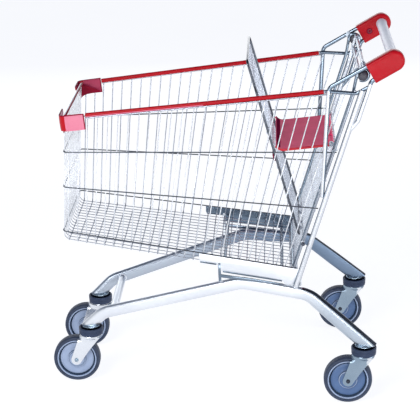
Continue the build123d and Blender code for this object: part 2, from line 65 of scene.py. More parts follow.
# Basket
FRONT_X, FRONT_LEAN = -373.0, 0.048
REAR_FOOT, REAR_LEAN = (217.0, 339.0), 0.313
LOW_BAND = (440.3, -0.150)
MIDDLE_BAND = (559.7, -0.072)
HIGH_BAND = (651.7, 0.013)
RAIL = (742.0, 0.1106)
FLOOR_DROP = 27.0
SIDE_X, SIDE_Z = 0.060, 0.020      # how the sides lean outwards to the rear and upwards
WIRE_R, FINE_WIRE_R, BAND_R, EDGE_R, WELD = 1.9, 1.5, 2.2, 3.0, 0.4
PANEL_INSET = BAND_R + WIRE_R - WELD
CROSS_WIRE_R, LONG_WIRE_R, THIN_BAND_R = 1.4, 1.1, 1.6      # the basket's wires as they are drawn
SIDE_WIRES, FLOOR_WIRES = 26, 16
RAIL_R, SLEEVE_R, SLEEVE_END, BUMPER_L = 4.6, 5.7, 297.0, 62.0

# Chassis: (x, z) places, along a leg from its nose end to its rear end
LEG_NOSE, LEG_LOW = (-333.0, 145.0), (-283.0, 194.0)
LEG_TOP, LEG_HIP, LEG_TAIL = (85.0, 304.0), (258.0, 283.5), (419.0, 147.0)
LEG_H, LEG_W, LEG_BEND, LEG_SIDES, LEG_SPLAY = 33.0, 20.0, 62.0, 32, 0.186
TIE_X, TIE_Z, TIE_R = -256.0, 200.0, 11.0
STRUT_X = 29.5
UPRIGHT_FOOT, UPRIGHT_TOP_Z, UPRIGHT_R = (225.0, 303.5), 822.0, 7.0
FLOOR_BARS_X, FLOOR_BAR_R = (41.0, 190.0), 4.5

# Handle
BAR_X, BAR_Z, BAR_R = 461.0, 896.0, 13.5
CAP_Y, CAP_H, CAP_W, CAP_L, CAP_TILT = 235.0, 52.0, 32.0, 64.7, 30.0
LOOP_R, LOOP_HALF = 5.5, 18.4

# Gate and child seat
HINGE_X, HINGE_Z = 387.5, 855.0
GATE_TILT, GATE_L, GATE_TOP_Y, GATE_LOW_Y, GATE_R = 18.25, 540.0, 207.0, 184.0, 4.0
TOP_BAR_OFF, PIVOT_OFF = 12.7, 9.0
SEAT_AT, BACKREST_AT = 205.0, 461.0
BACKREST_TILT, BACKREST_L, BACKREST_Y = -15.95, 476.0, 157.0
SEAT_L, SEAT_Y, SEAT_TILT = 135.0, 147.0, -6.1


# ---------------------------------------------------------------- materials

def node(tree, kind, **values):
    made = tree.nodes.new(kind)
    for name, value in values.items():
        if hasattr(made, name):
            setattr(made, name, value)
        else:
            made.inputs[name.replace("_", " ")].default_value = value
    return made


def noise(tree, place, scale, detail=4.0):
    made = node(tree, "ShaderNodeTexNoise", Scale=scale, Detail=detail)
    tree.links.new(place.outputs[0], made.inputs["Vector"])
    return made


def ranged(tree, source, low, high, start=0.35, end=0.65):
    made = node(tree, "ShaderNodeMapRange")
    tree.links.new(source, made.inputs["Value"])
    for name, value in (("From Min", start), ("From Max", end), ("To Min", low), ("To Max", high)):
        made.inputs[name].default_value = value
    return made.outputs["Result"]


def finish_material(name, light, dark, rough, metal=0.0, mottle=60.0, grain=900.0, bump=0.08,
                    stretch=(1.0, 1.0, 1.0), depth=0.0002, specks=None, shade=None, **sockets):
    """A surface whose colour drifts at one scale, with a finer grain in its roughness and bump.

    light and dark are the two ends of the colour, rough the two ends of the roughness. specks is (scale,
    colour, share). shade is (start, end, colour), a painted shading: the surface turns into that colour as x
    goes from start to end metres.
    """
    made = bpy.data.materials.new(name)
    made.use_nodes = True
    tree = made.node_tree
    shader = tree.nodes["Principled BSDF"]
    shader.inputs["Metallic"].default_value = metal
    for socket, value in sockets.items():
        shader.inputs[socket.replace("_", " ")].default_value = value
    coords = node(tree, "ShaderNodeTexCoord")
    place = node(tree, "ShaderNodeMapping")
    place.inputs["Scale"].default_value = stretch
    tree.links.new(coords.outputs["Object"], place.inputs["Vector"])
    broad = noise(tree, place, mottle)
    fine = noise(tree, place, grain, 6.0)
    colour = node(tree, "ShaderNodeMix", data_type="RGBA")
    colour.inputs[6].default_value = (*light, 1.0)
    colour.inputs[7].default_value = (*dark, 1.0)
    tree.links.new(ranged(tree, broad.outputs["Fac"], 0.0, 1.0), colour.inputs[0])
    result = colour.outputs[2]
    if specks:
        speck_scale, speck_colour, speck_share = specks
        spots = noise(tree, place, speck_scale, 8.0)
        spotted = node(tree, "ShaderNodeMix", data_type="RGBA")
        spotted.inputs[7].default_value = (*speck_colour, 1.0)
        amount = ranged(tree, spots.outputs["Fac"], 0.0, speck_share, 0.58, 0.72)
        tree.links.new(amount, spotted.inputs[0])
        tree.links.new(result, spotted.inputs[6])
        result = spotted.outputs[2]
    if shade:
        parts = node(tree, "ShaderNodeSeparateXYZ")
        tree.links.new(coords.outputs["Object"], parts.inputs[0])
        shaded = node(tree, "ShaderNodeMix", data_type="RGBA")
        shaded.inputs[7].default_value = (*shade[2], 1.0)
        tree.links.new(ranged(tree, parts.outputs["X"], 0.0, 1.0, shade[0], shade[1]), shaded.inputs[0])
        tree.links.new(result, shaded.inputs[6])
        result = shaded.outputs[2]
    tree.links.new(result, shader.inputs["Base Color"])
    tree.links.new(ranged(tree, fine.outputs["Fac"], *rough), shader.inputs["Roughness"])
    relief = node(tree, "ShaderNodeBump", Strength=bump, Distance=depth)
    tree.links.new(fine.outputs["Fac"], relief.inputs["Height"])
    tree.links.new(relief.outputs["Normal"], shader.inputs["Normal"])
    return made


# The cart's left side has lighter copies of the zinc, as painted light, and its right side darker, bluer
# copies, as painted shade. Textures that several finishes share:
DRAWN_ZINC = {"metal": 1.0, "mottle": 30.0, "grain": 300.0, "bump": 0.02}
DULL_ZINC = {"metal": 1.0, "mottle": 26.0, "grain": 260.0, "bump": 0.015}
PRESSED_ZINC = {"metal": 1.0, "mottle": 14.0, "grain": 160.0, "bump": 0.008}
MOULDED = {"mottle": 18.0, "grain": 1800.0, "bump": 0.06}
MATT_MOULDED = {"mottle": 20.0, "grain": 1500.0, "bump": 0.08}
CAST_NYLON = {"mottle": 38.0, "grain": 1300.0, "bump": 0.08}

STEEL_WIRE = finish_material(
    "wire_zinc_lacquered", (0.42, 0.45, 0.51), (0.36, 0.39, 0.45), (0.22, 0.32), **DRAWN_ZINC,
    specks=(200.0, (0.28, 0.31, 0.37), 0.2),
)
# This darker zinc is painted shade: on the rods, the bare rail ends, the side trim, the floor bars and the
# uprights' edges.
ROD_SHADED = finish_material(
    "rod_zinc_painted_shade", (0.22, 0.27, 0.33), (0.17, 0.22, 0.28), (0.12, 0.20), **DULL_ZINC,
    specks=(160.0, (0.12, 0.15, 0.20), 0.25),
)
# The tube zinc's shade darkens it from x = 0.18 to 0.28 m: painted shade on the pieces behind, the left leg's
# steep rear part among them.
STEEL_TUBE = finish_material(
    "tube_zinc_lacquered", (0.78, 0.81, 0.85), (0.72, 0.75, 0.80), (0.30, 0.38), 1.0,
    mottle=14.0, grain=160.0, bump=0.01, stretch=(0.35, 1.0, 1.0), specks=(110.0, (0.62, 0.66, 0.72), 0.12),
    shade=(0.18, 0.28, (0.44, 0.50, 0.57)),
)
# This darker zinc is painted shade: on the right side plate and along the forks' rear edges.
SHEET_SHADED = finish_material(
    "sheet_zinc_painted_shade", (0.17, 0.225, 0.29), (0.13, 0.175, 0.235), (0.20, 0.30), **DULL_ZINC,
    specks=(160.0, (0.09, 0.12, 0.16), 0.2),
)
# The darkest zinc is painted shade: on the bands, along the legs' tops and on the backrest's frame.
ZINC_DEEP_SHADE = finish_material(
    "zinc_painted_deep_shade", (0.100, 0.112, 0.135), (0.070, 0.080, 0.100), (0.18, 0.28), **DULL_ZINC,
    specks=(160.0, (0.05, 0.06, 0.08), 0.2),
)
# This lighter wire zinc is painted light on the gate's wires.
WIRE_SOFT_LIT = finish_material(
    "wire_zinc_painted_soft_light", (0.66, 0.70, 0.76), (0.58, 0.62, 0.69), (0.22, 0.32), **DRAWN_ZINC,
    specks=(200.0, (0.46, 0.50, 0.57), 0.2),
)
# The lightest wire zinc is painted light: on the left side's wires, the wires up the nose, the left upright
# and parts of the left carrier rod.
WIRE_LIT = finish_material(
    "wire_zinc_painted_light", (0.70, 0.725, 0.765), (0.64, 0.665, 0.71), (0.24, 0.34), **DRAWN_ZINC,
    specks=(200.0, (0.54, 0.57, 0.62), 0.2),
)
# This darker, bluer tube zinc is painted shade on the right leg; its shade lightens it towards the nose, from
# x = 0.08 to -0.14 m, as painted light.
TUBE_SHADED = finish_material(
    "tube_zinc_painted_shade", (0.19, 0.25, 0.35), (0.16, 0.22, 0.31), (0.34, 0.42), 1.0,
    mottle=6.0, grain=160.0, bump=0.01, stretch=(0.35, 1.0, 1.0), specks=(110.0, (0.15, 0.20, 0.28), 0.15),
    shade=(0.08, -0.14, (0.42, 0.47, 0.54)),
)
FORK_ZINC = finish_material(
    "pressed_zinc", (0.30, 0.38, 0.46), (0.26, 0.34, 0.42), (0.18, 0.24), **PRESSED_ZINC,
    specks=(120.0, (0.30, 0.37, 0.45), 0.12),
)
# This lighter pressed zinc is painted light on the front forks and crowns, and a painted highlight band on
# every fork sheet.
FORK_LIT = finish_material(
    "pressed_zinc_painted_light", (0.76, 0.79, 0.83), (0.70, 0.73, 0.78), (0.20, 0.27), **PRESSED_ZINC,
    specks=(120.0, (0.60, 0.64, 0.70), 0.12),
)
FASTENER = finish_material(
    "fastener_zinc", (0.070, 0.080, 0.105), (0.048, 0.056, 0.078), (0.22, 0.36), 1.0,
    mottle=160.0, grain=1400.0, bump=0.08, specks=(700.0, (0.07, 0.08, 0.10), 0.3),
)
TYRE = finish_material(
    "tyre_grey_rubber", (0.036, 0.052, 0.094), (0.024, 0.036, 0.068), (0.42, 0.60),
    mottle=48.0, grain=1600.0, bump=0.25, specks=(420.0, (0.08, 0.10, 0.14), 0.2), Specular_IOR_Level=0.30,
)
RIM = finish_material(
    "rim_blue_nylon", (0.085, 0.155, 0.31), (0.068, 0.125, 0.26), (0.26, 0.42), **CAST_NYLON,
    specks=(500.0, (0.05, 0.09, 0.19), 0.2), Specular_IOR_Level=0.35,
)
# This lighter nylon is painted light on the front rims, and a painted highlight on every rim's beads.
RIM_LIT = finish_material(
    "rim_nylon_painted_light", (0.31, 0.385, 0.54), (0.27, 0.34, 0.49), (0.26, 0.42), **CAST_NYLON,
    specks=(500.0, (0.20, 0.26, 0.34), 0.2), Specular_IOR_Level=0.35,
)
# This darker nylon is painted shade in the rims' grooves.
RIM_SHADE = finish_material(
    "rim_nylon_painted_shade", (0.045, 0.075, 0.130), (0.034, 0.058, 0.105), (0.36, 0.50),
    mottle=38.0, grain=1300.0, bump=0.05, specks=(500.0, (0.025, 0.04, 0.08), 0.2), Specular_IOR_Level=0.2,
)
GUARD = finish_material(
    "guard_dark_nylon", (0.030, 0.046, 0.092), (0.022, 0.035, 0.072), (0.34, 0.48),
    mottle=60.0, grain=700.0, bump=0.03, specks=(600.0, (0.05, 0.06, 0.11), 0.2), Specular_IOR_Level=0.2,
)
RED = finish_material(
    "red_moulded_plastic", (0.44, 0.004, 0.012), (0.37, 0.003, 0.009), (0.24, 0.38), **MOULDED,
    specks=(300.0, (0.30, 0.003, 0.008), 0.3), Specular_IOR_Level=0.15,
)
# This pale red is a painted reflection: on the left bumper's faces and under the left sleeve towards the
# nose.
RED_REFLECTION = finish_material(
    "red_plastic_painted_reflection", (0.66, 0.19, 0.28), (0.60, 0.16, 0.25), (0.24, 0.38), **MOULDED,
    specks=(300.0, (0.52, 0.10, 0.18), 0.3), Specular_IOR_Level=0.3,
)
# This pinker red is a weaker painted reflection on the right bumper's faces.
RED_DIM_REFLECTION = finish_material(
    "red_plastic_painted_dim_reflection", (0.40, 0.040, 0.095), (0.34, 0.030, 0.080), (0.30, 0.44), **MOULDED,
    specks=(300.0, (0.26, 0.02, 0.05), 0.3), Specular_IOR_Level=0.2,
)
SEAT = finish_material(
    "seat_pressed_plastic", (0.92, 0.056, 0.185), (0.84, 0.047, 0.160), (0.40, 0.56), **MATT_MOULDED,
    specks=(260.0, (0.62, 0.035, 0.12), 0.3), Specular_IOR_Level=0.08,
)
# This dark seat plastic is painted shade: inside the seat's lip and on the backrest's strip.
SEAT_SHADE = finish_material(
    "seat_plastic_painted_shade", (0.20, 0.010, 0.050), (0.17, 0.008, 0.040), (0.40, 0.56), **MATT_MOULDED,
    specks=(260.0, (0.20, 0.008, 0.04), 0.3), Specular_IOR_Level=0.0,
)
# This dark red is painted shade: on the nose's strip, the bumpers' top and rear edges, their fins and the cap
# screws' heads and pockets.
RED_SHADE = finish_material(
    "red_plastic_painted_shade", (0.25, 0.005, 0.026), (0.20, 0.004, 0.020), (0.34, 0.48), **MOULDED,
    specks=(300.0, (0.15, 0.002, 0.012), 0.3), Specular_IOR_Level=0.05,
)
SEAT_EDGE = finish_material(
    "seat_bright_edge", (0.52, 0.012, 0.030), (0.44, 0.008, 0.024), (0.24, 0.38),
    mottle=20.0, grain=1500.0, bump=0.06, specks=(260.0, (0.34, 0.006, 0.018), 0.3), Specular_IOR_Level=0.25,
)
HANDLE = finish_material(
    "handle_grey_coating", (0.72, 0.74, 0.82), (0.66, 0.68, 0.77), (0.30, 0.44),
    mottle=26.0, grain=2200.0, bump=0.12, specks=(420.0, (0.54, 0.56, 0.66), 0.2),
)
BUSH = finish_material(
    "bush_dark_nylon", (0.055, 0.055, 0.075), (0.035, 0.035, 0.050), (0.30, 0.48),
    mottle=90.0, grain=1500.0, bump=0.10,
)
BY_SLOT = {
    "tyre_rubber": TYRE, "rim_plastic": RIM, "guard_plastic": GUARD, "fork_zinc": FORK_ZINC,
    "fastener_zinc": FASTENER, "seat_plastic": SEAT, "red_plastic": RED, "handle_coating": HANDLE,
    "bush_plastic": BUSH, "chassis_steel": STEEL_TUBE, "wire_steel": STEEL_WIRE,
}
for part in frame["record"]["subparts"]:
    cad = nodes[part["node"]]
    cad.data.materials.clear()
    cad.data.materials.append(BY_SLOT[part["material_slot"]])


# ---------------------------------------------------------------- lines and meshes

def vec(*values):
    return np.array(values, float)


def unit(v):
    return v / np.linalg.norm(v)


def rounded(points, bend, step=9.0):
    """The line through points with each inner corner turned into an arc of radius bend."""
    points = [vec(*p) for p in points]
    line = [points[0]]
    for a, b, c in zip(points, points[1:], points[2:]):
        u, v = unit(a - b), unit(c - b)
        half = math.acos(max(-1.0, min(1.0, float(u @ v)))) / 2
        if half > math.radians(89.5):
            line.append(b)
            continue
        cut = bend / math.tan(half)
        room = 0.499 * min(np.linalg.norm(a - b), np.linalg.norm(c - b))
        r = bend * min(1.0, room / cut)
        centre = b + unit(u + v) * r / math.sin(half)
        start, end = b + u * r / math.tan(half) - centre, b + v * r / math.tan(half) - centre
        turn = math.pi - 2 * half
        count = max(2, math.ceil(math.degrees(turn) / step))
        for i in range(count + 1):
            share = i / count
            mixed = math.sin((1 - share) * turn) * start + math.sin(share * turn) * end
            line.append(centre + mixed / math.sin(turn))
    line.append(points[-1])
    return line


def circle(radius, sides):
    turns = [2 * math.pi * i / sides for i in range(sides)]
    return [(radius * math.cos(turn), radius * math.sin(turn)) for turn in turns]


def oval(high, wide, sides):
    """A flat oval section: two straight runs joined by half circles, high along its first axis."""
    r, straight = wide / 2, (high - wide) / 2
    half = sides // 2
    points = []
    for end in (1, -1):
        for i in range(half):
            turn = math.pi * i / (half - 1)
            points.append((end * (straight + r * math.sin(turn)), end * r * math.cos(turn)))
    return points


class Shape:
    """A mesh drawn in millimetres, made into a piece when it is done."""

    def __init__(self):
        self.points, self.faces = [], []

    def add(self, points, faces):
        base = len(self.points)
        self.points += [tuple(p) for p in points]
        self.faces += [tuple(i + base for i in face) for face in faces]

    def grid(self, rows, flip=False):
        """A sheet over rows of the same number of points."""
        n = len(rows[0])
        faces = []
        for j in range(len(rows) - 1):
            for a in range(j * n, j * n + n - 1):
                face = (a, a + 1, a + n + 1, a + n)
                faces.append(tuple(reversed(face)) if flip else face)
        self.add([p for row in rows for p in row], faces)

    def rings(self, rings, loop=False):
        """A skin over rings of the same number of points, closed at both ends or joined into a loop."""
        n = len(rings[0])
        points = [p for ring in rings for p in ring]
        faces = []
        for k in range(len(rings) - (0 if loop else 1)):
            a, b = k * n, (k + 1) % len(rings) * n
            faces += [(a + i, a + (i + 1) % n, b + (i + 1) % n, b + i) for i in range(n)]
        if not loop:
            faces += [tuple(reversed(range(n))), tuple(range(len(points) - n, len(points)))]
        self.add(points, faces)

    def tube(self, line, section, up=None, soft=0.0, loop=False):
        """section, in the plane across the line, swept along it. soft rounds the two ends by that much."""
        line = [vec(*p) for p in line]
        if isinstance(section, (int, float)):
            section = circle(section, 12)
        count = len(line)
        rings = []
        normal = None
        for i, p in enumerate(line):
            first, last = i == 0 and not loop, i == count - 1 and not loop
            before = p if first else line[i - 1]
            after = p if last else line[(i + 1) % count]
            along = unit(after - before) if first or last else unit(unit(after - p) + unit(p - before))
            if normal is None:
                level_run = abs(along[2]) < 0.8
                normal = vec(*(up or ((0, 0, 1) if level_run else (1, 0, 0))))
            normal = unit(normal - along * (normal @ along))
            across = np.cross(along, normal)
            rings.append((p, along, normal, across))
        made = []
        for p, _, n, c in rings:
            made.append([p + n * s + c * t for s, t in section])
        if soft:
            p, along, n, c = rings[0]
            made[0] = [p + along * soft + n * s + c * t for s, t in section]
            made.insert(0, [p + 0.8 * (n * s + c * t) for s, t in section])
            p, along, n, c = rings[-1]
            made[-1] = [p - along * soft + n * s + c * t for s, t in section]
            made.append([p + 0.8 * (n * s + c * t) for s, t in section])
        self.rings(made, loop=loop)

    def turned(self, profile, origin, axis, steps=72, loop=False):
        """profile's (radius, along) points turned round the axis through origin. loop closes the profile."""
        origin, axis = vec(*origin), unit(vec(*axis))
        side = unit(np.cross(axis, vec(0, 0, 1) if abs(axis[2]) < 0.9 else vec(1, 0, 0)))
        other = np.cross(axis, side)
        rings = []
        for i in range(steps):
            turn = 2 * math.pi * i / steps
            out = side * math.cos(turn) + other * math.sin(turn)
            rings.append([origin + out * r + axis * h for r, h in profile])
        n = len(profile)
        points = [p for ring in rings for p in ring]
        faces = []
        for k in range(steps):
            a, b = k * n, (k + 1) % steps * n
            faces += [(a + i, b + i, b + (i + 1) % n, a + (i + 1) % n) for i in range(n if loop else n - 1)]
        self.add(points, faces)

    def turned_y(self, profile, origin, steps, side=1, loop=False):
        """A profile turned round the Y direction, its along values counted outwards on that side."""
        self.turned([(r, side * h) for r, h in profile], origin, (0, 1, 0), steps, loop)

    def plate(self, outline, depth):
        """An outline of 3-D points made into a flat plate, depth being the vector through its thickness."""
        outline = [vec(*p) for p in outline]
        self.rings([outline, [p + vec(*depth) for p in outline]])

    def piece(self, name, body, slot, *stands_for, bevel=0.0, segments=3, sharp=35.0, thick=0.0, finish=None):
        """The shape as a Blender piece that rides on body. thick gives an open sheet that thickness."""
        mesh = bpy.data.meshes.new(name)
        points = [((x - MIDDLE_X) * MM, y * MM, z * MM) for x, y, z in self.points]
        mesh.from_pydata(points, [], self.faces)
        made = bpy.data.objects.new(name, mesh)
        bpy.context.scene.collection.objects.link(made)
        work = bmesh.new()
        work.from_mesh(mesh)
        bmesh.ops.remove_doubles(work, verts=work.verts, dist=2e-6)
        bmesh.ops.recalc_face_normals(work, faces=work.faces)
        work.to_mesh(mesh)
        work.free()
        if thick:
            sheet = made.modifiers.new("thickness", "SOLIDIFY")
            sheet.thickness, sheet.offset = abs(thick) * MM, math.copysign(1.0, thick)
            sheet.use_even_offset = True
        if bevel:
            edge = made.modifiers.new("edge", "BEVEL")
            edge.width, edge.segments, edge.limit_method = bevel * MM, segments, "ANGLE"
            edge.angle_limit = math.radians(30)
            edge.harden_normals = False
        if thick or bevel:
            shown = made.evaluated_get(bpy.context.evaluated_depsgraph_get())
            made.data = bpy.data.meshes.new_from_object(shown)
            made.modifiers.clear()
        made.data.polygons.foreach_set("use_smooth", [True] * len(made.data.polygons))
        made.data.set_sharp_from_angle(angle=math.radians(sharp))
        made.data.materials.clear()
        made.data.materials.append(finish or BY_SLOT[slot])
        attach(made, body)
        if stands_for:
            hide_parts(*stands_for)
        return made


def paint(made, finishes, choose):
    """More finishes for a piece: choose(x, y, z, normal) is 0 for its own finish, or counts into finishes."""
    for finish in finishes:
        made.data.materials.append(finish)
    for polygon in made.data.polygons:
        x, y, z = (1000 * v for v in polygon.center)
        polygon.material_index = choose(x + MIDDLE_X, y, z, polygon.normal)


def side_y(x, z):
    return 190.3 + SIDE_X * x + SIDE_Z * z


def front_x(z):
    return FRONT_X + FRONT_LEAN * (z - LOW_BAND[0])


def level(band, x):
    return band[0] + band[1] * (x - FRONT_X)


def floor_z(x):
    return level(LOW_BAND, x) - FLOOR_DROP


def rear_x(z):
    return REAR_FOOT[0] + REAR_LEAN * (z - REAR_FOOT[1])


def side_to_side(x, z, reach, inner):
    """A level line from side to side at x and z, with a point at inner on each side."""
    return [(x, y, z) for y in (-reach, -inner, inner, reach)]


def beside(side, out, *places):
    """Points that lie out from one side panel, at these (x, z) places."""
    return [(x, side * (side_y(x, z) + out), z) for x, z in places]


# ---------------------------------------------------------------- casters

def fork_edges(z):
    """Front and rear x of a fork blade at height z: straight front, hollowed rear, round foot."""
    axle_x, boss = -TRAIL, 14.0
    reach = math.sqrt(max(boss ** 2 - (z - WHEEL_R) ** 2, 0.0))
    front = -30.0 - 24.0 * (131.0 - z) / 66.0 if z > 65.0 else axle_x - reach
    if z > 54.0:
        drop = (131.0 - z) / 77.0
        rear = 30.0 - 58.9 * drop - 3.5 * math.sin(math.pi * drop)
    else:
        rear = axle_x + reach
    return front, rear


def fork_side(x, z):
    """Half-width of the fork: flat beside the wheel, wrapped round behind it, drawn to the crown's circle."""
    hollow, outer, top = -6.0, FORK_HALF + FORK_T, 30.0
    y = outer * math.sqrt(max(1 - (max(x - hollow, 0.0) / (31.0 - hollow)) ** 2, 0.02))
    flare = min(max((z - 117.0) / 13.0, 0.0), 1.0)
    flare = flare * flare * (3 - 2 * flare)
    return (1 - flare) * y + flare * math.sqrt(max(top ** 2 - x * x, 4.0))


def make_fork(name, x0, y0):
    """Two mirrored sheets that wrap round behind the wheel, under a pressed crown."""
    swivel = "swivel_" + name
    columns, rows = 26, 34
    fork = Shape()
    for side in (-1, 1):
        sheet = []
        for j in range(rows + 1):
            drop = j / rows
            z = 130.6 - (130.6 - 48.6) * (1 - (1 - drop) ** 1.6)
            front, rear = fork_edges(z)
            row = []
            for i in range(columns + 1):
                x = front + (rear - front) * i / columns
                row.append((x0 + x, y0 + side * fork_side(x, z), z))
            sheet.append(row)
        fork.grid(sheet, flip=side > 0)
    # The front forks and crowns take the lighter zinc: painted light.
    zinc = FORK_ZINC if "rear" in name else FORK_LIT
    made = fork.piece("fork_sheet_" + name, swivel, "fork_zinc", f"fork_{name}", bevel=0.7, thick=-FORK_T,
                      sharp=40.0, finish=zinc)
    # Painted light on the blades: faces turned a little towards +x get a painted highlight band, faces turned
    # further get painted shade.
    paint(made, (FORK_LIT, SHEET_SHADED), lambda x, y, z, n: 2 if n.x > 0.62 else 1 if n.x > 0.22 else 0)
    crown = Shape()
    upright = ((x0, y0, 0), (0, 0, 1))
    crown.turned([(6.2, 129.0), (28.6, 129.0), (29.8, 129.7), (30.2, 130.8), (29.6, 131.7), (28.4, 132.0),
                  (21.0, 132.2), (20.2, 133.0), (20.0, 139.4), (19.0, 140.2), (6.2, 140.2)],
                 *upright, loop=True)
    crown.piece("fork_crown_" + name, swivel, "fork_zinc", sharp=30.0, finish=zinc)


def make_head(name, x0, y0):
    """The thread guard ring and the bearing head inside it."""
    upright = ((x0, y0, 0), (0, 0, 1))
    guard = Shape()
    guard.turned([(24.2, 132.2), (30.6, 132.2), (31.4, 132.8), (31.8, 134.0), (32.1, 142.0), (31.6, 142.6),
                  (31.6, 143.4), (32.4, 144.0), (32.5, 150.4), (31.8, 151.6), (30.6, 152.0), (29.2, 151.8),
                  (28.4, 151.0), (28.0, 145.0), (27.0, 144.2), (24.2, 144.0)], *upright, steps=96, loop=True)
    guard.piece("guard_ring_" + name, "swivel_" + name, "guard_plastic", f"guard_{name}", sharp=50.0)
    head = Shape()
    head.turned([(0.1, 158.6), (16.8, 158.6), (17.8, 158.2), (18.2, 157.2), (21.6, 157.0), (22.6, 156.4),
                 (22.8, 155.4), (22.2, 154.6), (17.4, 154.2), (16.6, 153.0), (16.4, 142.0), (15.0, 140.6),
                 (0.1, 140.5)], *upright)
    head.piece("caster_head_" + name, "cart", "chassis_steel", "caster_heads", sharp=40.0, finish=FORK_ZINC)


def make_wheel(name, axle):
    """A tyre with bevelled shoulders on a dished rim, and the beads that stand out of the rim's faces."""
    wheel = "wheel_" + name
    tyre = Shape()
    crown_line = [(54.4, -13.2), (55.0, -14.4), (56.4, -15.2), (58.0, -15.4), (60.2, -14.4), (61.6, -12.2),
                  (62.2, -9.4), (62.45, -5.0), (62.5, 0.0)]
    profile = crown_line + [(r, -w) for r, w in reversed(crown_line[:-1])] + [(51.8, 12.6), (51.6, -12.6)]
    tyre.turned_y(profile, axle, 120, loop=True)
    tyre.piece("tyre_tread_" + name, wheel, "tyre_rubber", f"tyre_{name}", sharp=45.0)
    rim = Shape()
    face = [(4.3, 17.2), (9.4, 17.2), (10.4, 16.8), (11.0, 15.8), (11.4, 13.4), (20.6, 12.4), (22.2, 11.8),
            (23.0, 10.6), (23.4, 7.4), (24.4, 6.6), (34.0, 7.2), (43.6, 6.8), (44.6, 6.2), (45.2, 3.8),
            (46.2, 3.0), (47.2, 3.4), (48.0, 5.2), (48.8, 11.6), (49.6, 12.8), (50.8, 13.2), (51.8, 13.1),
            (52.8, 12.4)]
    profile = face + [(r, -w) for r, w in reversed(face)]
    rim.turned_y(profile, axle, 120, loop=True)
    # The front rims take the lighter nylon: painted light.
    plastic = RIM if "rear" in name else RIM_LIT
    made = rim.piece("rim_disc_" + name, wheel, "rim_plastic", f"rim_{name}", sharp=50.0, finish=plastic)

    # Painted shade in the rim's two grooves.
    def groove(x, y, z, normal):
        r = math.hypot(x - axle[0], z - WHEEL_R)
        return 1 if 44.2 < r < 48.6 or 20.8 < r < 24.6 else 0

    paint(made, (RIM_SHADE,), groove)
    ring = Shape()
    for side in (-1, 1):
        bead = [(48.9, 12.0), (49.6, 13.3), (50.8, 13.7), (51.9, 13.5), (52.5, 12.8), (52.3, 11.8)]
        ring.turned_y(bead, axle, 120, side, loop=True)
        hub = [(21.2, 11.6), (22.0, 12.8), (23.2, 12.6), (23.9, 11.0), (23.6, 9.8)]
        ring.turned_y(hub, axle, 96, side, loop=True)
    # The beads take the lighter nylon: a painted highlight.
    ring.piece("rim_beads_" + name, wheel, "rim_plastic", sharp=60.0, finish=RIM_LIT)


def make_axle_bolt(name, axle):
    bolt = Shape()
    for side in (-1, 1):
        washer = [(3.9, 0.0), (5.2, 0.0), (5.6, 0.3), (5.4, 0.5), (5.0, 0.6), (3.9, 0.6)]
        foot = (axle[0], axle[1] + side * (FORK_HALF + FORK_T), WHEEL_R)
        bolt.turned_y(washer, foot, 48, side, loop=True)
        flats = [(4.6 * math.cos(t), 4.6 * math.sin(t)) for t in (math.pi * k / 3 for k in range(6))]
        levels = ((0.94, 0.6), (1.0, 1.1), (1.0, 4.4), (0.88, 5.0), (0.55, 5.0), (0.50, 3.2))
        x, y, z = foot
        bolt.rings([[(x + k * u, y + side * h, z + k * v) for u, v in flats] for k, h in levels])
    bolt.tube([(axle[0], axle[1] + y, WHEEL_R) for y in (-21.5, 21.5)], 3.9)
    # The front and rear bolts differ only by painted light: the front ones take the lighter pressed zinc.
    zinc = FASTENER if "rear" in name else FORK_ZINC
    bolt.piece("axle_bolt_" + name, "swivel_" + name, "fastener_zinc", f"axle_{name}", bevel=0.25,
               segments=2, sharp=30.0, finish=zinc)


for caster, (swivel_x, swivel_y) in CASTERS.items():
    make_fork(caster, swivel_x, swivel_y)
    make_head(caster, swivel_x, swivel_y)
    make_wheel(caster, (swivel_x - TRAIL, swivel_y, WHEEL_R))
    make_axle_bolt(caster, (swivel_x - TRAIL, swivel_y, WHEEL_R))


# ---------------------------------------------------------------- basket

def cross_wire_places():
    """x at the floor and at the rail of each wire that runs up one side, under the floor and up the other."""
    first, last = front_x(floor_z(FRONT_X)) + 14.0, REAR_FOOT[0] - 4.0
    places = []
    for i in range(SIDE_WIRES):
        share = i / (SIDE_WIRES - 1)
        low = first + (last - first) * share
        lean = FRONT_LEAN + (REAR_LEAN - FRONT_LEAN) * share ** 1.4
        rise = (level(RAIL, low) - floor_z(low)) / (1 - RAIL[1] * lean)
        places.append((low, low + lean * rise))
    return places


def make_cross_wires():
    cross, edge = Shape(), Shape()
    for i, (low, high) in enumerate(cross_wire_places()):
        last = i == SIDE_WIRES - 1
        low_z, high_z = floor_z(low), level(RAIL, high) - RAIL_R + 0.6
        # behind the bumpers the wires end lower, along the fins
        behind_nose = high - front_x(RAIL[0]) + 4.0
        if behind_nose < 58.0:
            high_z -= 0.56 * behind_nose + 4.0
        foot_y, top_y = side_y(low, low_z) - PANEL_INSET, side_y(high, high_z) - PANEL_INSET + 3.0
        stops = [(high, -top_y, high_z), (low, -foot_y, low_z), (low, foot_y, low_z), (high, top_y, high_z)]
        line = rounded(stops, 15.0)
        (edge if last else cross).tube(line, EDGE_R if last else CROSS_WIRE_R, soft=0.4)
    panels = ("side_mesh_left", "side_mesh_right", "floor_mesh")
    made = cross.piece("basket_cross_wires", "cart", "wire_steel", *panels)
    # Painted light: the left side's wires above the low band take the lightest zinc.
    paint(made, (WIRE_LIT,), lambda x, y, z, n: 1 if y < -130.0 and z > LOW_BAND[0] - 50.0 else 0)
    edge.piece("basket_rear_edge", "cart", "wire_steel")


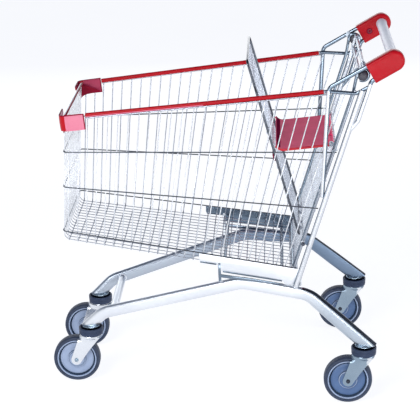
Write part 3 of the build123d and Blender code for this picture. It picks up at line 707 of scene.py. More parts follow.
def make_long_wires():
    """The wires that run along the floor and up the nose."""
    long = Shape()
    top, low = level(RAIL, FRONT_X), floor_z(FRONT_X)
    lift = CROSS_WIRE_R + LONG_WIRE_R - 0.2
    nose_in = THIN_BAND_R + LONG_WIRE_R - 0.2
    back_x = REAR_FOOT[0] + 1.0
    for i in range(FLOOR_WIRES):
        share = 2 * (i + 0.5) / FLOOR_WIRES - 1
        nose_x = front_x(low) + nose_in
        line = rounded([
            (back_x, share * (side_y(back_x, floor_z(back_x)) - PANEL_INSET), floor_z(back_x) + lift),
            (nose_x, share * (side_y(nose_x, low) - PANEL_INSET), floor_z(nose_x) + lift),
            (front_x(top) + nose_in, share * side_y(FRONT_X, top), top - RAIL_R + 0.8),
        ], 16.0)
        long.tube(line, LONG_WIRE_R, soft=0.4)
    made = long.piece("basket_long_wires", "cart", "wire_steel", "front_mesh")
    # Painted light: the wires take the lightest zinc where they rise up the nose.
    paint(made, (WIRE_LIT,), lambda x, y, z, n: 1 if z > low + 12.0 else 0)


def make_bands():
    """The three bands that run round the sides and the nose, darkened as painted shade."""
    bands = Shape()
    for band in (LOW_BAND, MIDDLE_BAND, HIGH_BAND):
        nose_x = front_x(band[0])
        back_x = rear_x(band[0] + band[1] * 600) + 8.0
        far = [(x, side_y(x, level(band, x)) - 0.8, level(band, x)) for x in (back_x, nose_x)]
        near = [(x, -y, z) for x, y, z in far]
        bands.tube(rounded([near[0], near[1], far[1], far[0]], 12.0), THIN_BAND_R, soft=0.5)
    bands.piece("basket_bands", "cart", "wire_steel", finish=ZINC_DEEP_SHADE)


make_cross_wires()
make_long_wires()
make_bands()


def rail_point(x, side, out=0.0, drop=0.0):
    z = level(RAIL, x) - drop
    return (x, side * (side_y(x, z) + out), z)


def make_mouth_rods():
    """The rods round the basket's mouth, and the red strip over the one at the nose."""
    nose_x = front_x(RAIL[0]) + 3.0
    _, reach, z = rail_point(nose_x, 1, -10.0)
    rod = Shape()
    rod.tube(side_to_side(nose_x, z, reach, reach / 2), circle(3.6, 16), soft=0.8)
    rod.piece("mouth_rod", "cart", "wire_steel", "front_top_rail")
    strip = Shape()
    line = side_to_side(nose_x + 3.2, z + 3.4, reach + 4.0, reach / 2)
    strip.tube(line, oval(5.0, 3.4, 12), up=(1, 0, 0), soft=0.6)
    # The strip takes the dark red: painted shade.
    strip.piece("mouth_strip", "cart", "red_plastic", finish=RED_SHADE)
    inner = Shape()
    for side in (-1, 1):
        line = [rail_point(x, side) for x in (nose_x + 58.0, 0.0, SLEEVE_END + 8.0)]
        inner.tube(line, circle(4.4, 16), soft=0.6)
    inner.piece("mouth_side_rods", "cart", "wire_steel")
    under = Shape()
    for side in (-1, 1):
        line = [rail_point(x, side, 3.9, 6.7) for x in (nose_x + 54.0, SLEEVE_END + 4.0)]
        under.tube(line, 2.0, soft=0.5)
    under.piece("mouth_under_rods", "cart", "wire_steel")


def make_sleeve(side, name):
    """A red sleeve on the rail, and the rail's bare end behind it."""
    bare = Shape()
    line = rounded([
        rail_point(SLEEVE_END - 2.0, side),
        rail_point(SLEEVE_END + 6.0, side),
        (372.0, side * (side_y(372.0, 813.0) + 0.5), 812.0),
        (401.0, side * (side_y(401.0, 832.0) + 2.0), 829.0),
    ], 16.0)
    bare.tube(line, circle(RAIL_R, 18), soft=1.0)
    # The bare end takes the darker rod zinc: painted shade.
    bare.piece("rail_bare_" + name, "cart", "wire_steel", "top_rail_" + name, finish=ROD_SHADED)
    sleeve = Shape()
    start = front_x(RAIL[0]) + BUMPER_L - 5.0
    ends = [rail_point(start, side), rail_point(SLEEVE_END, side)]
    along = unit(vec(*ends[1]) - vec(*ends[0]))
    shares = (0.0, 0.004, 0.25, 0.5, 0.75, 0.996, 1.0)
    line = [vec(*ends[0]) + along * t * (SLEEVE_END - start) for t in shares]
    sleeve.tube(line, circle(SLEEVE_R, 24), soft=0.8)
    made = sleeve.piece("red_sleeve_" + name, "cart", "red_plastic", "rail_sleeve_" + name)
    # Painted reflection: the left sleeve's underside is pale towards the nose.
    if side < 0:
        paint(made, (RED_REFLECTION,), lambda x, y, z, n: 1 if n.z < -0.3 and x < -67.0 else 0)


def make_bumper(side, name, face):
    """A moulded angle round the basket's corner, with a fin inside it that clips behind the rail."""
    length, across, high, wall, corner = BUMPER_L, 71.0, 40.0, 3.0, 13.0
    x0 = front_x(RAIL[0]) - 8.0
    z0 = level(RAIL, x0) + 7.0
    y0 = side_y(x0, z0) + 9.0

    def at(u, v, w):
        """u back along the side, v in from the side along the front, w down from the top."""
        return (x0 + u + 0.10 * w, side * (y0 + SIDE_X * u - v), z0 - w + RAIL[1] * u)

    bend = rounded([(length, 0.0, 0.0), (0.0, 0.0, 0.0), (0.0, across, 0.0)], corner, 6.0)
    plan = [(length - t * (length - corner), 0.0) for t in (0.0, 0.03, 0.06, 0.3, 0.6)]
    plan += [tuple(p[:2]) for p in bend[1:-1]]
    plan += [(0.0, corner + t * (across - corner)) for t in (0.15, 0.3, 0.45, 0.6, 0.75, 0.9, 1.0)]
    levels = ((0.0, 0.0), (0.02, -0.3), (0.06, -0.5), (0.3, -0.9), (0.5, -1.0), (0.7, -0.9), (0.94, -0.5),
              (0.98, -0.3), (1.0, 0.0))
    rows = []
    for share, bulge in levels:
        row = []
        for u, v in plan:
            # the front wall's lower edge rises towards the middle of the cart
            deep = high if v < corner else high - (high - 9.0) * ((v - corner) / (across - corner)) ** 0.8
            ease = min(max(u - length, -6.0) / -6.0, 1.0) if v == 0.0 else min((across - v) / 6.0, 1.0)
            u_out = bulge * ease if v > corner else 0.0
            v_out = bulge * ease if u > corner else 0.0
            row.append(at(u + u_out, v + v_out, share * deep))
        rows.append(row)
    shell = Shape()
    shell.grid(rows)
    made = shell.piece("bumper_shell_" + name, "cart", "red_plastic", "corner_bumper_" + name,
                       thick=-wall * side, bevel=0.9)

    # Painted light on the shell: its flat faces take the face finish, a painted reflection, and its top and
    # rear edges a painted shade.
    def lit(x, y, z, normal):
        down = z0 + RAIL[1] * (x - x0) - z
        back = x - x0 - 0.10 * down
        plain = abs(normal.y) > 0.9 and back > 15.0 or normal.x > 0.85 and back < 8.0
        return 2 if down < 2.0 or back > length - 2.6 else 1 if plain else 0

    paint(made, (face, RED_SHADE), lit)
    # The fin takes the dark red: painted shade.
    fin = Shape()
    sheet = []
    for i in range(15):
        s = i / 14
        top = 2.5 + 31.0 * s
        foot = 35.0 + 2.5 * s + 15.0 * math.exp(-s * 6.0)
        sheet.append([at(1.5 + 57.5 * s, 16.0 - 3.0 * s, top + (foot - top) * k / 5) for k in range(6)])
    fin.grid(sheet)
    fin.piece("bumper_fin_" + name, "cart", "red_plastic", thick=2.4 * side, bevel=0.5, finish=RED_SHADE)


make_mouth_rods()
for side, name in SIDES:
    make_sleeve(side, name)
# The left bumper's faces carry a painted reflection, the right one's a weaker painted reflection.
make_bumper(-1, "left", RED_REFLECTION)
make_bumper(1, "right", RED_DIM_REFLECTION)


# ---------------------------------------------------------------- chassis

def leg_y(x):
    caster_x, caster_y = CASTERS["front_right"]
    return caster_y + LEG_SPLAY * (x - caster_x)


def weld_bead(shape, centre, axis, radius, thick, ripples):
    """A rippled bead of weld round an axis."""
    centre, axis = vec(*centre), unit(vec(*axis))
    side = unit(np.cross(axis, vec(0, 0, 1) if abs(axis[2]) < 0.9 else vec(1, 0, 0)))
    other = np.cross(axis, side)
    count = ripples * 4
    round_bead = [math.pi * k / 4 for k in range(8)]
    rings = []
    for i in range(count):
        turn = 2 * math.pi * i / count
        out = side * math.cos(turn) + other * math.sin(turn)
        r = thick * (1.0 + 0.16 * math.cos(2 * math.pi * i / 4) + 0.08 * math.sin(i * 1.7))
        middle = centre + out * radius
        rings.append([middle + out * r * math.cos(a) + axis * r * math.sin(a) for a in round_bead])
    shape.rings(rings, loop=True)


def run_points(start, end, shares):
    return [(start[0] + (end[0] - start[0]) * t, start[1] + (end[1] - start[1]) * t) for t in shares]


def make_legs():
    """Two flat-oval tubes, thicker behind the hip and cut level where they sit on the caster heads."""
    # the runs into the casters have extra points, so that the flat cut under them stays level
    nose = run_points(LEG_NOSE, LEG_LOW, (0.0, 0.1, 0.2, 0.3, 0.4, 0.5, 0.6))
    tail = run_points(LEG_HIP, LEG_TAIL, (0.5, 0.66, 0.72, 0.78, 0.84, 0.88, 0.92, 0.96, 1.0))
    stops = [*nose, LEG_LOW, LEG_TOP, LEG_HIP, *tail]
    for side, name in SIDES:
        line = rounded([(x, side * leg_y(x), z) for x, z in stops], LEG_BEND, 4.0)
        leg = Shape()
        leg.tube(line, oval(LEG_H, LEG_W, LEG_SIDES), up=(0, 0, 1))
        shaped = []
        for first in range(0, len(leg.points), LEG_SIDES):
            ring = [vec(*p) for p in leg.points[first:first + LEG_SIDES]]
            middle = sum(ring) / LEG_SIDES
            grow = min(max((middle[0] - 250.0) / 60.0, 0.0), 1.0)
            scale = 1.0 + 0.16 * grow * grow * (3 - 2 * grow)
            shaped += [middle + (p - middle) * scale for p in ring]
        leg.points = [(x, y, max(z, HEAD_Z - 0.5)) for x, y, z in shaped]
        # The right leg takes the darker, bluer tube zinc as painted shade, and each leg's top behind x = 193
        # mm is darkened as painted shade.
        steel = STEEL_TUBE if side < 0 else TUBE_SHADED
        made = leg.piece("leg_tube_" + name, "cart", "chassis_steel", "leg_" + name, sharp=50.0, finish=steel)
        paint(made, (ZINC_DEEP_SHADE,), lambda x, y, z, n: 1 if n.z > 0.5 and x > 193.0 else 0)


def make_side_plate(side, name):
    """A pressed plate under the basket, with its folded lips, its strap and its post."""
    plate = Shape()
    outline = beside(side, BAND_R, (-22.0, level(LOW_BAND, -22.0)), (240.0, level(LOW_BAND, 240.0)),
                     (240.0, 303.5), (197.0, 308.5), (192.0, 317.0), (36.0, 340.0), (26.0, 342.0),
                     (24.0, 359.0), (-22.0, 366.0))
    outline = rounded([*outline, outline[0]], 4.0, 15.0)[:-1]
    plate.plate(outline, (0.0, side * 2.5, 0.0))
    # The right plate takes the darker zinc: painted shade.
    sheet = STEEL_TUBE if side < 0 else SHEET_SHADED
    plate.piece("side_web_" + name, "cart", "chassis_steel", "side_plate_" + name, bevel=0.6,
                finish=sheet)
    trim = Shape()
    lip = beside(side, BAND_R + 1.6, (-20.0, 364.4), (22.0, 358.2))
    trim.tube(lip, oval(7.0, 3.0, 12), up=(0, 1, 0), soft=0.6)
    lip = beside(side, BAND_R + 1.6, (38.0, 339.0), (190.0, 316.6))
    trim.tube(lip, oval(8.0, 3.0, 12), up=(0, 1, 0), soft=0.6)
    strap = beside(side, BAND_R + 1.4, (31.0, 327.0), (120.0, 316.0), (193.0, 304.0))
    trim.tube(strap, oval(9.0, 3.4, 12), up=(0, 0, 1), soft=0.6)
    post = beside(side, BAND_R + 1.4, (STRUT_X, 362.0), (STRUT_X, 340.0), (STRUT_X + 1.0, 312.0))
    trim.tube(post, oval(7.4, 3.2, 12), up=(1, 0, 0), soft=0.6)
    # The trim takes the darker rod zinc: painted shade.
    trim.piece("side_trim_" + name, "cart", "chassis_steel", finish=ROD_SHADED)


def make_upright(side, name):
    """A leaning tube behind the basket, with its welds and bolts."""
    top_x = UPRIGHT_FOOT[0] + REAR_LEAN * (UPRIGHT_TOP_Z - UPRIGHT_FOOT[1]) - 2.0
    out = BAND_R + UPRIGHT_R - WELD
    tube = Shape()
    ends = beside(side, out, UPRIGHT_FOOT, (top_x, UPRIGHT_TOP_Z))
    along = vec(*ends[1]) - vec(*ends[0])
    line = [vec(*ends[0]) + along * t for t in (0.0, 0.002, 0.34, 0.67, 0.998, 1.0)]
    tube.tube(line, circle(UPRIGHT_R, 28))
    # The left upright takes the lightest zinc as painted light; both darken at their left and right edges as
    # painted shade.
    steel = WIRE_LIT if side < 0 else STEEL_WIRE
    made = tube.piece("upright_tube_" + name, "cart", "chassis_steel", "upright_" + name, finish=steel)
    paint(made, (ROD_SHADED,), lambda x, y, z, n: 1 if abs(n.x) > 0.8 else 0)
    joints = Shape()
    for z in (422.0, 560.0, 664.0):
        x = rear_x(z) - 1.0
        weld_bead(joints, (x, side * (side_y(x, z) + 2.6), z), (0, side, 0.1), 3.4, 1.0, 12)
    weld_bead(joints, ends[0], along, 7.2, 1.3, 18)
    joints.piece("upright_welds_" + name, "cart", "chassis_steel")
    bolts = Shape()
    for x, z in ((rear_x(422.0), 422.0), (232.0, 312.0)):
        y = side * (side_y(x, z) + out + (6.6 if z > 400.0 else -4.0))
        head = [(0.1, 4.6), (2.6, 4.3), (4.2, 3.2), (4.9, 1.4), (5.0, -0.6), (0.1, -0.6)]
        bolts.turned_y(head, (x, y, z), 24, side)
    bolts.piece("frame_bolts_" + name, "cart", "fastener_zinc", sharp=60.0)


def make_struts():
    struts = Shape()
    for side in (-1, 1):
        top_y = side * (side_y(STRUT_X, 350.0) + BAND_R - 1.5)
        foot_y = side * (leg_y(STRUT_X) + 2.0 - 1.5)
        line = rounded([(STRUT_X, top_y, 363.6), (STRUT_X, top_y, 350.0), (STRUT_X, foot_y, 306.0)], 6.0)
        struts.tube(line, oval(7.0, 3.0, 12), up=(1, 0, 0), soft=0.5)
    struts.piece("leg_struts", "cart", "chassis_steel", "front_struts")


def make_cross_members():
    """The nose's cross tube, the bars under the floor and the rod that the gate rests on."""
    tie = Shape()
    reach = leg_y(TIE_X) - 9.0
    tie.tube([(TIE_X, y, TIE_Z) for y in (-reach, -reach / 2, 0.0, reach / 2, reach)], circle(TIE_R, 36))
    for side in (-1, 1):
        weld_bead(tie, (TIE_X, side * (reach - 0.6), TIE_Z), (LEG_SPLAY, side, 0.0), TIE_R + 0.2, 1.4, 24)
    tie.piece("nose_cross_tube", "cart", "chassis_steel", "front_cross_tube")
    bars = Shape()
    for x in FLOOR_BARS_X:
        z = floor_z(x) - WIRE_R - FLOOR_BAR_R
        reach = side_y(x, z) + BAND_R
        bars.tube(side_to_side(x, z, reach, reach / 3), circle(FLOOR_BAR_R, 20), soft=0.8)
    # The floor bars take the darker rod zinc: painted shade.
    bars.piece("floor_bars", "cart", "wire_steel", "base_bars", finish=ROD_SHADED)
    sill = Shape()
    x, _, z = gate_point(GATE_L, -(2 * GATE_R + 0.4), 0.0)
    reach = side_y(x, z) + BAND_R + 0.3
    sill.tube(side_to_side(x, z, reach, reach / 3), circle(4.0, 20), soft=0.8)
    sill.piece("gate_stop_rod", "cart", "wire_steel", "rear_sill")


# ---------------------------------------------------------------- handle

def loop_point(along, up, y):
    c, s = math.cos(math.radians(CAP_TILT)), math.sin(math.radians(CAP_TILT))
    return (BAR_X + along * c - up * s, y, BAR_Z + along * s + up * c)


def bright_rod(x, y, z, normal):
    """1 where painted light falls: on the outside of a carrier rod's front post and on its rear foot."""
    post = normal.x < 0.35 and normal.y < 0.0 and z < 820.0 and x < 313.0
    foot = abs(normal.x) < 0.7 and z < 830.0 and x > 343.0
    return 1 if post or foot else 0


def make_grip():
    """The round bar, with a raised collar against each cap."""
    bar = Shape()
    reach = CAP_Y - CAP_W / 2 + 6.0
    profile = [(0.1, -reach), (BAR_R, -reach)]
    for end in (-1, 1):
        inner = CAP_Y - CAP_W / 2
        stops = [(BAR_R, inner), (BAR_R + 0.9, inner - 0.8), (BAR_R + 1.0, inner - 4.0),
                 (BAR_R + 0.4, inner - 6.5), (BAR_R, inner - 9.0)]
        run = [(r, end * y) for r, y in stops]
        profile += run if end < 0 else list(reversed(run))
    profile += [(BAR_R, reach), (0.1, reach)]
    bar.turned_y(profile, (BAR_X, 0, BAR_Z), 48)
    bar.piece("grip_bar", "cart", "handle_coating", "handle_bar", sharp=50.0)


def make_carrier_rod(side, name):
    """One bent rod: up past the rail's end, round inside the cap and back down to the upright."""
    y = side * CAP_Y
    line = rounded([
        (290.0, side * (side_y(290, 548) + 7.0), 545.0),
        (304.6, side * (side_y(304, 828) + 8.5), 828.0),
        loop_point(LOOP_HALF, LOOP_HALF, y), loop_point(LOOP_HALF, -LOOP_HALF, y),
        loop_point(-LOOP_HALF * 3.95, -LOOP_HALF, y),
        (376.0, side * (side_y(376, 745) + 7.0), 744.0),
        (354.5, side * (side_y(350, 715) + 8.6), 718.0),
    ], LOOP_HALF - 0.2, 7.0)
    loop = Shape()
    loop.tube(line, circle(LOOP_R, 20), soft=1.2)
    # The carrier rods take the darker rod zinc as painted shade; the left one is painted light where
    # bright_rod picks.
    made = loop.piece("handle_rod_" + name, "cart", "wire_steel", "handle_loop_" + name, finish=ROD_SHADED)
    if side < 0:
        paint(made, (WIRE_LIT,), bright_rod)


def make_cap(side, name):
    cap = Shape()
    half = CAP_H / 2
    outline = []
    for k in range(37):
        turn = math.pi / 2 - math.pi * k / 36
        outline.append((half * math.cos(turn), half * math.sin(turn)))
    for t in (0.08, 0.5, 0.95, 0.985):
        outline.append((-CAP_L * t, -half))
    for v in (-half + 1.0, -half * 0.5, 0.0, half * 0.5, half - 1.0):
        outline.append((-CAP_L, v))
    for t in (0.985, 0.95, 0.5, 0.08):
        outline.append((-CAP_L * t, half))
    # the outline shrinks towards the cap's two faces, so that its rim is well rounded
    soft, rings = 7.0, []
    for k in range(17):
        turn = -math.pi / 2 + math.pi * k / 16
        shrink = soft * (1 - math.cos(turn))
        flat = CAP_W / 2 - soft if abs(turn) > 1e-6 else 0.0
        y_off = math.copysign(flat, turn) + soft * math.sin(turn)
        ring = []
        for u, v in outline:
            flat_end = u < -CAP_L + 2.0
            us = u - shrink * (0.0 if flat_end else max(u, 0.0) / half)
            vs = v * (1 - shrink / half)
            if flat_end:
                us = u + shrink * 0.25
            ring.append(loop_point(us, vs, side * CAP_Y + y_off))
        rings.append(ring)
    cap.rings(rings)
    cap.piece("grip_cap_" + name, "cart", "red_plastic", "handle_cap_" + name, sharp=38.0, bevel=1.2)


def make_cap_screws():
    """A screw in a ringed pocket on each cap's inner face."""
    screws, pockets, seals = Shape(), Shape(), Shape()
    for side in (-1, 1):
        face = side * (CAP_Y - CAP_W / 2)
        x, _, z = loop_point(-38.0, -2.0, 0.0)
        head = [(0.1, 1.0), (2.0, 0.9), (3.4, 0.3), (3.9, -0.6), (3.9, -1.2), (0.1, -1.2)]
        screws.turned_y(head, (x, face, z), 32, -side)
        ring = [(5.2, -1.0), (5.2, 0.7), (6.0, 1.6), (7.4, 1.6), (8.2, 0.8), (8.4, -0.6)]
        pockets.turned_y(ring, (x, face, z), 40, -side, loop=True)
        seal = [(4.1, 0.0), (4.1, 0.45), (5.3, 0.45), (5.3, 0.0)]
        seals.turned_y(seal, (x, face, z), 40, -side, loop=True)
    # The screw heads and pockets take the dark red: painted shade.
    screws.piece("cap_screw_heads", "cart", "red_plastic", "cap_screws", sharp=50.0, finish=RED_SHADE)
    pockets.piece("cap_screw_pockets", "cart", "red_plastic", sharp=50.0, finish=RED_SHADE)
    seals.piece("cap_screw_seals", "cart", "bush_plastic", sharp=50.0)


make_grip()
for side, name in SIDES:
    make_carrier_rod(side, name)
    make_cap(side, name)
make_cap_screws()


# ---------------------------------------------------------------- gate and child seat

def gate_point(down, forward, y):
    c, s = math.cos(math.radians(GATE_TILT)), math.sin(math.radians(GATE_TILT))
    return (HINGE_X - down * s - forward * c, y, HINGE_Z - down * c + forward * s)


def gate_y(down):
    return GATE_TOP_Y + (GATE_LOW_Y - GATE_TOP_Y) * down / GATE_L


def make_gate():
    frame_rod = Shape()
    eye_y, eye_r = GATE_TOP_Y + 6.5, 14.6
    hook = []
    for k in range(24):
        turn = math.radians(-20.0 + 300.0 * k / 23)
        hook.append((-eye_r * math.sin(turn), eye_r * math.cos(turn)))
    near = [gate_point(down, forward, -eye_y) for down, forward in reversed(hook)]
    far = [gate_point(down, forward, eye_y) for down, forward in hook]
    lead = [(46.0, 8.0, 209.5), (GATE_L, 0.0, GATE_LOW_Y)]
    corner = [gate_point(down, forward, -y) for down, forward, y in lead]
    corner += [gate_point(down, forward, y) for down, forward, y in reversed(lead)]
    line = rounded([near[-1], *corner, far[0]], 22.0)
    frame_rod.tube(near[:-1] + line + far[1:], circle(GATE_R, 14), soft=0.8)
    # The frame rod takes the darker rod zinc: painted shade.
    frame_rod.piece("gate_frame_rod", "gate", "wire_steel", "gate_mesh", finish=ROD_SHADED)
    wires = Shape()
    behind = -(FINE_WIRE_R + BAND_R - WELD)
    for down in (SEAT_AT, 290.0, 375.0, BACKREST_AT):
        y = gate_y(down) + 1.0
        wires.tube([gate_point(down, behind, -y), gate_point(down, behind, y)], BAND_R, soft=0.6)
    for i in range(-7, 8):
        y = 24.0 * i
        if abs(i) in (0, 6, 7):
            over = -TOP_BAR_OFF - GATE_R - FINE_WIRE_R + WELD
            front = GATE_R + FINE_WIRE_R - WELD
            stops = ((GATE_L, 0), (60.0, 0), (TOP_BAR_OFF, front), (over, front), (over, -front),
                     (-TOP_BAR_OFF + 1.0, -front))
            line = rounded([gate_point(down, forward, y) for down, forward in stops], 5.0)
        else:
            line = [gate_point(GATE_L, 0, y), gate_point(SEAT_AT - 3.0, 0, y)]
        wires.tube(line, FINE_WIRE_R, soft=0.4)
    # The wires take the lighter wire zinc: painted light.
    wires.piece("gate_wires", "gate", "wire_steel", finish=WIRE_SOFT_LIT)
    top = Shape()
    for down in (-TOP_BAR_OFF, TOP_BAR_OFF):
        y = GATE_TOP_Y + 4.0
        top.tube([gate_point(down, 0, -y), gate_point(down, 0, y)], circle(GATE_R + 0.4, 16), soft=0.8)
    top.piece("gate_top_loop", "gate", "wire_steel", "gate_top_bars", sharp=40.0)
    bush = Shape()
    for side in (-1, 1):
        # a flanged bush, its dished outer face turned away from the gate
        section = [(4.1, -4.2), (10.3, -4.2), (10.4, -3.8), (10.4, 4.9), (12.8, 5.1), (13.4, 5.7),
                   (13.4, 6.9), (12.6, 7.6), (9.0, 7.5), (8.0, 6.8), (4.1, 6.8)]
        middle = (HINGE_X, side * (GATE_TOP_Y + 6.5), HINGE_Z)
        bush.turned_y(section, middle, 48, side, loop=True)
    bush.piece("gate_bushes", "gate", "bush_plastic", "hinge_bushes", sharp=40.0)


def backrest_point(up, back, y):
    x0, _, z0 = gate_point(BACKREST_AT, PIVOT_OFF, 0)
    c, s = math.cos(math.radians(BACKREST_TILT)), math.sin(math.radians(BACKREST_TILT))
    return (x0 + up * s - back * c, y, z0 + up * c + back * s)


def make_backrest():
    frame_rod = Shape()
    half = BACKREST_L / 2
    stops = ((half, -1), (BACKREST_L, -1), (BACKREST_L, 1), (0, 1), (0, -1), (half, -1))
    line = rounded([backrest_point(up, 0, side * BACKREST_Y) for up, side in stops], 16.0)
    frame_rod.tube(line[:-1], circle(EDGE_R, 14), loop=True)
    # The frame rod takes the darkest zinc: painted shade.
    frame_rod.piece("backrest_frame_rod", "backrest", "wire_steel", "backrest", finish=ZINC_DEEP_SHADE)
    wires = Shape()
    behind = FINE_WIRE_R + BAND_R - WELD
    for up in (95.0, 190.0, 285.0, 380.0):
        y = BACKREST_Y + 1.0
        wires.tube([backrest_point(up, behind, -y), backrest_point(up, behind, y)], BAND_R, soft=0.6)
    for i in range(-4, 5):
        y = 25.0 * i
        line = [backrest_point(up, 0, y) for up in (-1.0, BACKREST_L + 1.0)]
        wires.tube(line, FINE_WIRE_R, soft=0.4)
    wires.piece("backrest_wires", "backrest", "wire_steel")
    strip = Shape()
    rows = [(206.0, 5.0), (208.0, 3.2), (222.0, 3.2), (224.0, 5.0), (223.0, 8.0), (207.0, 8.0)]
    ends = (-SEAT_Y, -SEAT_Y + 1.5, -50.0, 50.0, SEAT_Y - 1.5, SEAT_Y)
    strip.rings([[backrest_point(up, back, y) for up, back in rows] for y in ends])
    # The strip takes the dark seat plastic: painted shade.
    strip.piece("backrest_strip", "backrest", "seat_plastic", "seat_strip", bevel=1.0, finish=SEAT_SHADE)


def make_seat():
    """A moulded flap: knuckles on the pin, a plain panel, and a lip that curves up towards the nose."""
    x0, _, z0 = gate_point(SEAT_AT, PIVOT_OFF, 0)
    tilt = math.radians(SEAT_TILT)

    def at(u, y, w):
        """u towards the nose, w up, from the pivot."""
        return (x0 - u * math.cos(tilt) + w * math.sin(tilt), y, z0 + u * math.sin(tilt) + w * math.cos(tilt))

    under = -4.6
    curl, reach = 24.0, SEAT_L + 8.0
    profile = [(4.0 + k * (reach - curl - 4.0) / 12, under) for k in range(13)]
    for k in range(1, 9):
        turn = math.radians(58.0) * k / 8
        profile.append((reach - curl + curl * math.sin(turn), under + curl * (1 - math.cos(turn))))
    profile.append((profile[-1][0] + 1.2, profile[-1][1] + 2.0))
    flap = Shape()
    columns = 60
    rows = []
    for u, w in profile:
        row = []
        for i in range(columns + 1):
            y = -SEAT_Y + 2 * SEAT_Y * i / columns
            corner = max(abs(y) - (SEAT_Y - 10.0), 0.0) / 10.0
            dish = -1.6 * (1 - (y / SEAT_Y) ** 2) * math.sin(math.pi * min(u / reach, 1.0))
            row.append(at(u - (6.0 * corner ** 2 if w > under + 18 else 0.0), y, w + dish))
        rows.append(row)
    flap.grid(rows)
    made = flap.piece("seat_flap", "seat", "seat_plastic", "seat", thick=3.0, bevel=0.8)
    # Painted shade inside the lip, where it curls up towards the nose.
    paint(made, (SEAT_SHADE,), lambda x, y, z, n: 1 if n.x > 0.45 and x < x0 - 60.0 else 0)
    knuckles = Shape()
    for start, end in ((-SEAT_Y, -96.0), (-80.0, -12.0), (12.0, 80.0), (96.0, SEAT_Y)):
        ring = [(3.1, 0.8), (3.6, 0.0), (6.0, 0.0), (6.6, 0.7)]
        section = [(r, start + h) for r, h in ring] + [(r, end - h) for r, h in reversed(ring)]
        knuckles.turned_y(section, (x0, 0, z0), 32, loop=True)
    knuckles.piece("seat_knuckles", "seat", "seat_plastic", sharp=40.0)
    beads = Shape()
    for side in (-1, 1):
        line = [at(u, side * (SEAT_Y - 1.0), w + 0.2) for u, w in profile]
        beads.tube(line, oval(6.4, 3.6, 16), up=(0, 0, 1), soft=0.8)
    beads.piece("seat_side_beads", "seat", "seat_plastic", finish=SEAT_EDGE)


def make_hinges():
    """Each side's pin on its bracket, with a domed cap over its outer end."""
    pins, caps = Shape(), Shape()
    for side in (-1, 1):
        inner, plate = GATE_TOP_Y + 2.0, GATE_TOP_Y + 13.9
        pin = [(HINGE_X, side * y, HINGE_Z) for y in (inner, plate + 4.0)]
        pins.tube(pin, circle(4.0, 20), soft=0.6)
        lobe = [(HINGE_X + x, HINGE_Z + z) for x, z in ((-2.0, 9.0), (9.0, 4.0), (7.0, -8.0), (-8.0, -9.0))]
        outline = rounded([*lobe, (365.0, 863.0), (366.0, 874.0), (376.0, 875.0)], 5.0)
        pins.plate([(x, side * plate, z) for x, z in outline], (0, side * 3.0, 0))
        peg = [(372.0, side * y, 868.0) for y in (plate + 1.0, side_y(372, 868) + 3.0)]
        pins.tube(peg, 4.4, soft=0.5)
        dome = [(0.1, 9.0), (4.0, 8.8), (8.0, 7.8), (10.8, 6.0), (12.2, 3.6), (12.5, 1.2), (12.0, 0.4),
                (0.1, 0.4)]
        foot = (HINGE_X, side * (plate + 3.0), HINGE_Z)
        caps.turned_y(dome, foot, 40, side)
    pins.piece("hinge_pins", "cart", "chassis_steel", "hinge_brackets", bevel=0.5)
    caps.piece("hinge_pin_caps", "cart", "bush_plastic", sharp=60.0)


make_legs()
for side, name in SIDES:
    make_side_plate(side, name)
    make_upright(side, name)
make_struts()
make_cross_members()
make_hinges()
make_gate()
make_backrest()
make_seat()


# ---------------------------------------------------------------- camera, light and floor

FOCAL_MM = 130.9         # on a 36 mm sensor
AZIMUTH, ELEVATION, ROLL = 2.5835, 18.093, -0.938
CAMERA_AT = (0.14065, -3.8772, 1.7065)      # metres


def make_camera():
    a, e, roll = (math.radians(v) for v in (AZIMUTH, ELEVATION, ROLL))
    back = Vector((math.sin(a) * math.cos(e), -math.cos(a) * math.cos(e), math.sin(e)))
    right = Vector((math.cos(a), math.sin(a), 0.0))
    up = back.cross(right)
    tilted_right = math.cos(roll) * right + math.sin(roll) * up
    tilted_up = math.cos(roll) * up - math.sin(roll) * right
    data = bpy.data.cameras.new("camera")
    data.lens, data.sensor_width = FOCAL_MM, 36.0
    camera = bpy.data.objects.new("camera", data)
    bpy.context.scene.collection.objects.link(camera)
    turned = Matrix((tilted_right, tilted_up, back)).transposed().to_4x4()
    camera.matrix_world = Matrix.Translation(CAMERA_AT) @ turned
    bpy.context.scene.camera = camera


def softbox(name, place, target, size, power, colour=(1.0, 1.0, 1.0)):
    data = bpy.data.lights.new(name, "AREA")
    data.shape, data.size, data.size_y = "RECTANGLE", *size
    data.energy, data.color = power, colour
    lamp = bpy.data.objects.new(name, data)
    bpy.context.scene.collection.objects.link(lamp)
    lamp.location = place
    lamp.rotation_mode = "QUATERNION"
    lamp.rotation_quaternion = (Vector(target) - Vector(place)).to_track_quat("-Z", "Y")


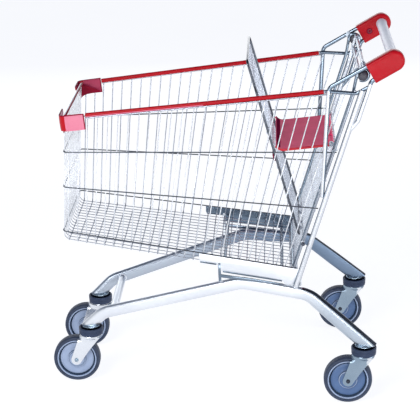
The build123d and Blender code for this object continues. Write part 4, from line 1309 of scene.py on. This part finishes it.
def make_studio():
    softbox("key", (-1.6, -3.2, 2.9), (0.0, 0.0, 0.5), (1.8, 1.2), 75.0)
    softbox("low_card", (0.5, -3.2, 0.22), (0.0, 0.0, 0.45), (4.5, 0.42), 34.0)
    softbox("side", (3.4, -0.8, 1.3), (0.0, 0.0, 0.5), (1.4, 1.6), 26.0, (0.96, 0.98, 1.0))
    softbox("behind", (-0.4, 3.6, 1.2), (0.0, 0.0, 0.6), (4.0, 1.0), 16.0, (0.96, 0.98, 1.0))
    world = bpy.data.worlds.new("studio")
    world.use_nodes = True
    tree = world.node_tree
    coords = node(tree, "ShaderNodeTexCoord")
    parts = node(tree, "ShaderNodeSeparateXYZ")
    ramp = node(tree, "ShaderNodeValToRGB")
    stops = ((0.0, (1.0, 1.0, 1.0)), (0.20, (0.95, 0.97, 1.0)), (0.42, (0.30, 0.34, 0.42)),
             (1.0, (0.08, 0.10, 0.15)))
    while len(ramp.color_ramp.elements) < len(stops):
        ramp.color_ramp.elements.new(0.5)
    for element, (at, colour) in zip(ramp.color_ramp.elements, stops):
        element.position, element.color = at, (*colour, 1.0)
    tree.links.new(coords.outputs["Generated"], parts.inputs[0])
    tree.links.new(parts.outputs["Z"], ramp.inputs[0])
    sky = tree.nodes["Background"]
    tree.links.new(ramp.outputs[0], sky.inputs["Color"])
    sky.inputs["Strength"].default_value = 0.95
    bpy.context.scene.world = world
    bpy.context.scene.view_settings.view_transform = "Standard"


def make_floor():
    bpy.ops.mesh.primitive_plane_add(size=60.0, location=(0.0, 0.0, 0.0))
    floor = bpy.context.object
    floor.name = "studio_floor"
    pale = finish_material(
        "studio_paper", (0.34, 0.345, 0.355), (0.32, 0.325, 0.34), (0.7, 0.9), mottle=0.8, grain=300.0,
        bump=0.01,
    )
    shader = pale.node_tree.nodes["Principled BSDF"]
    shader.inputs["Specular IOR Level"].default_value = 0.0
    shader.inputs["Emission Color"].default_value = (0.975, 0.98, 1.0, 1.0)
    shader.inputs["Emission Strength"].default_value = 0.86
    floor.data.materials.append(pale)


make_camera()
make_studio()
make_floor()
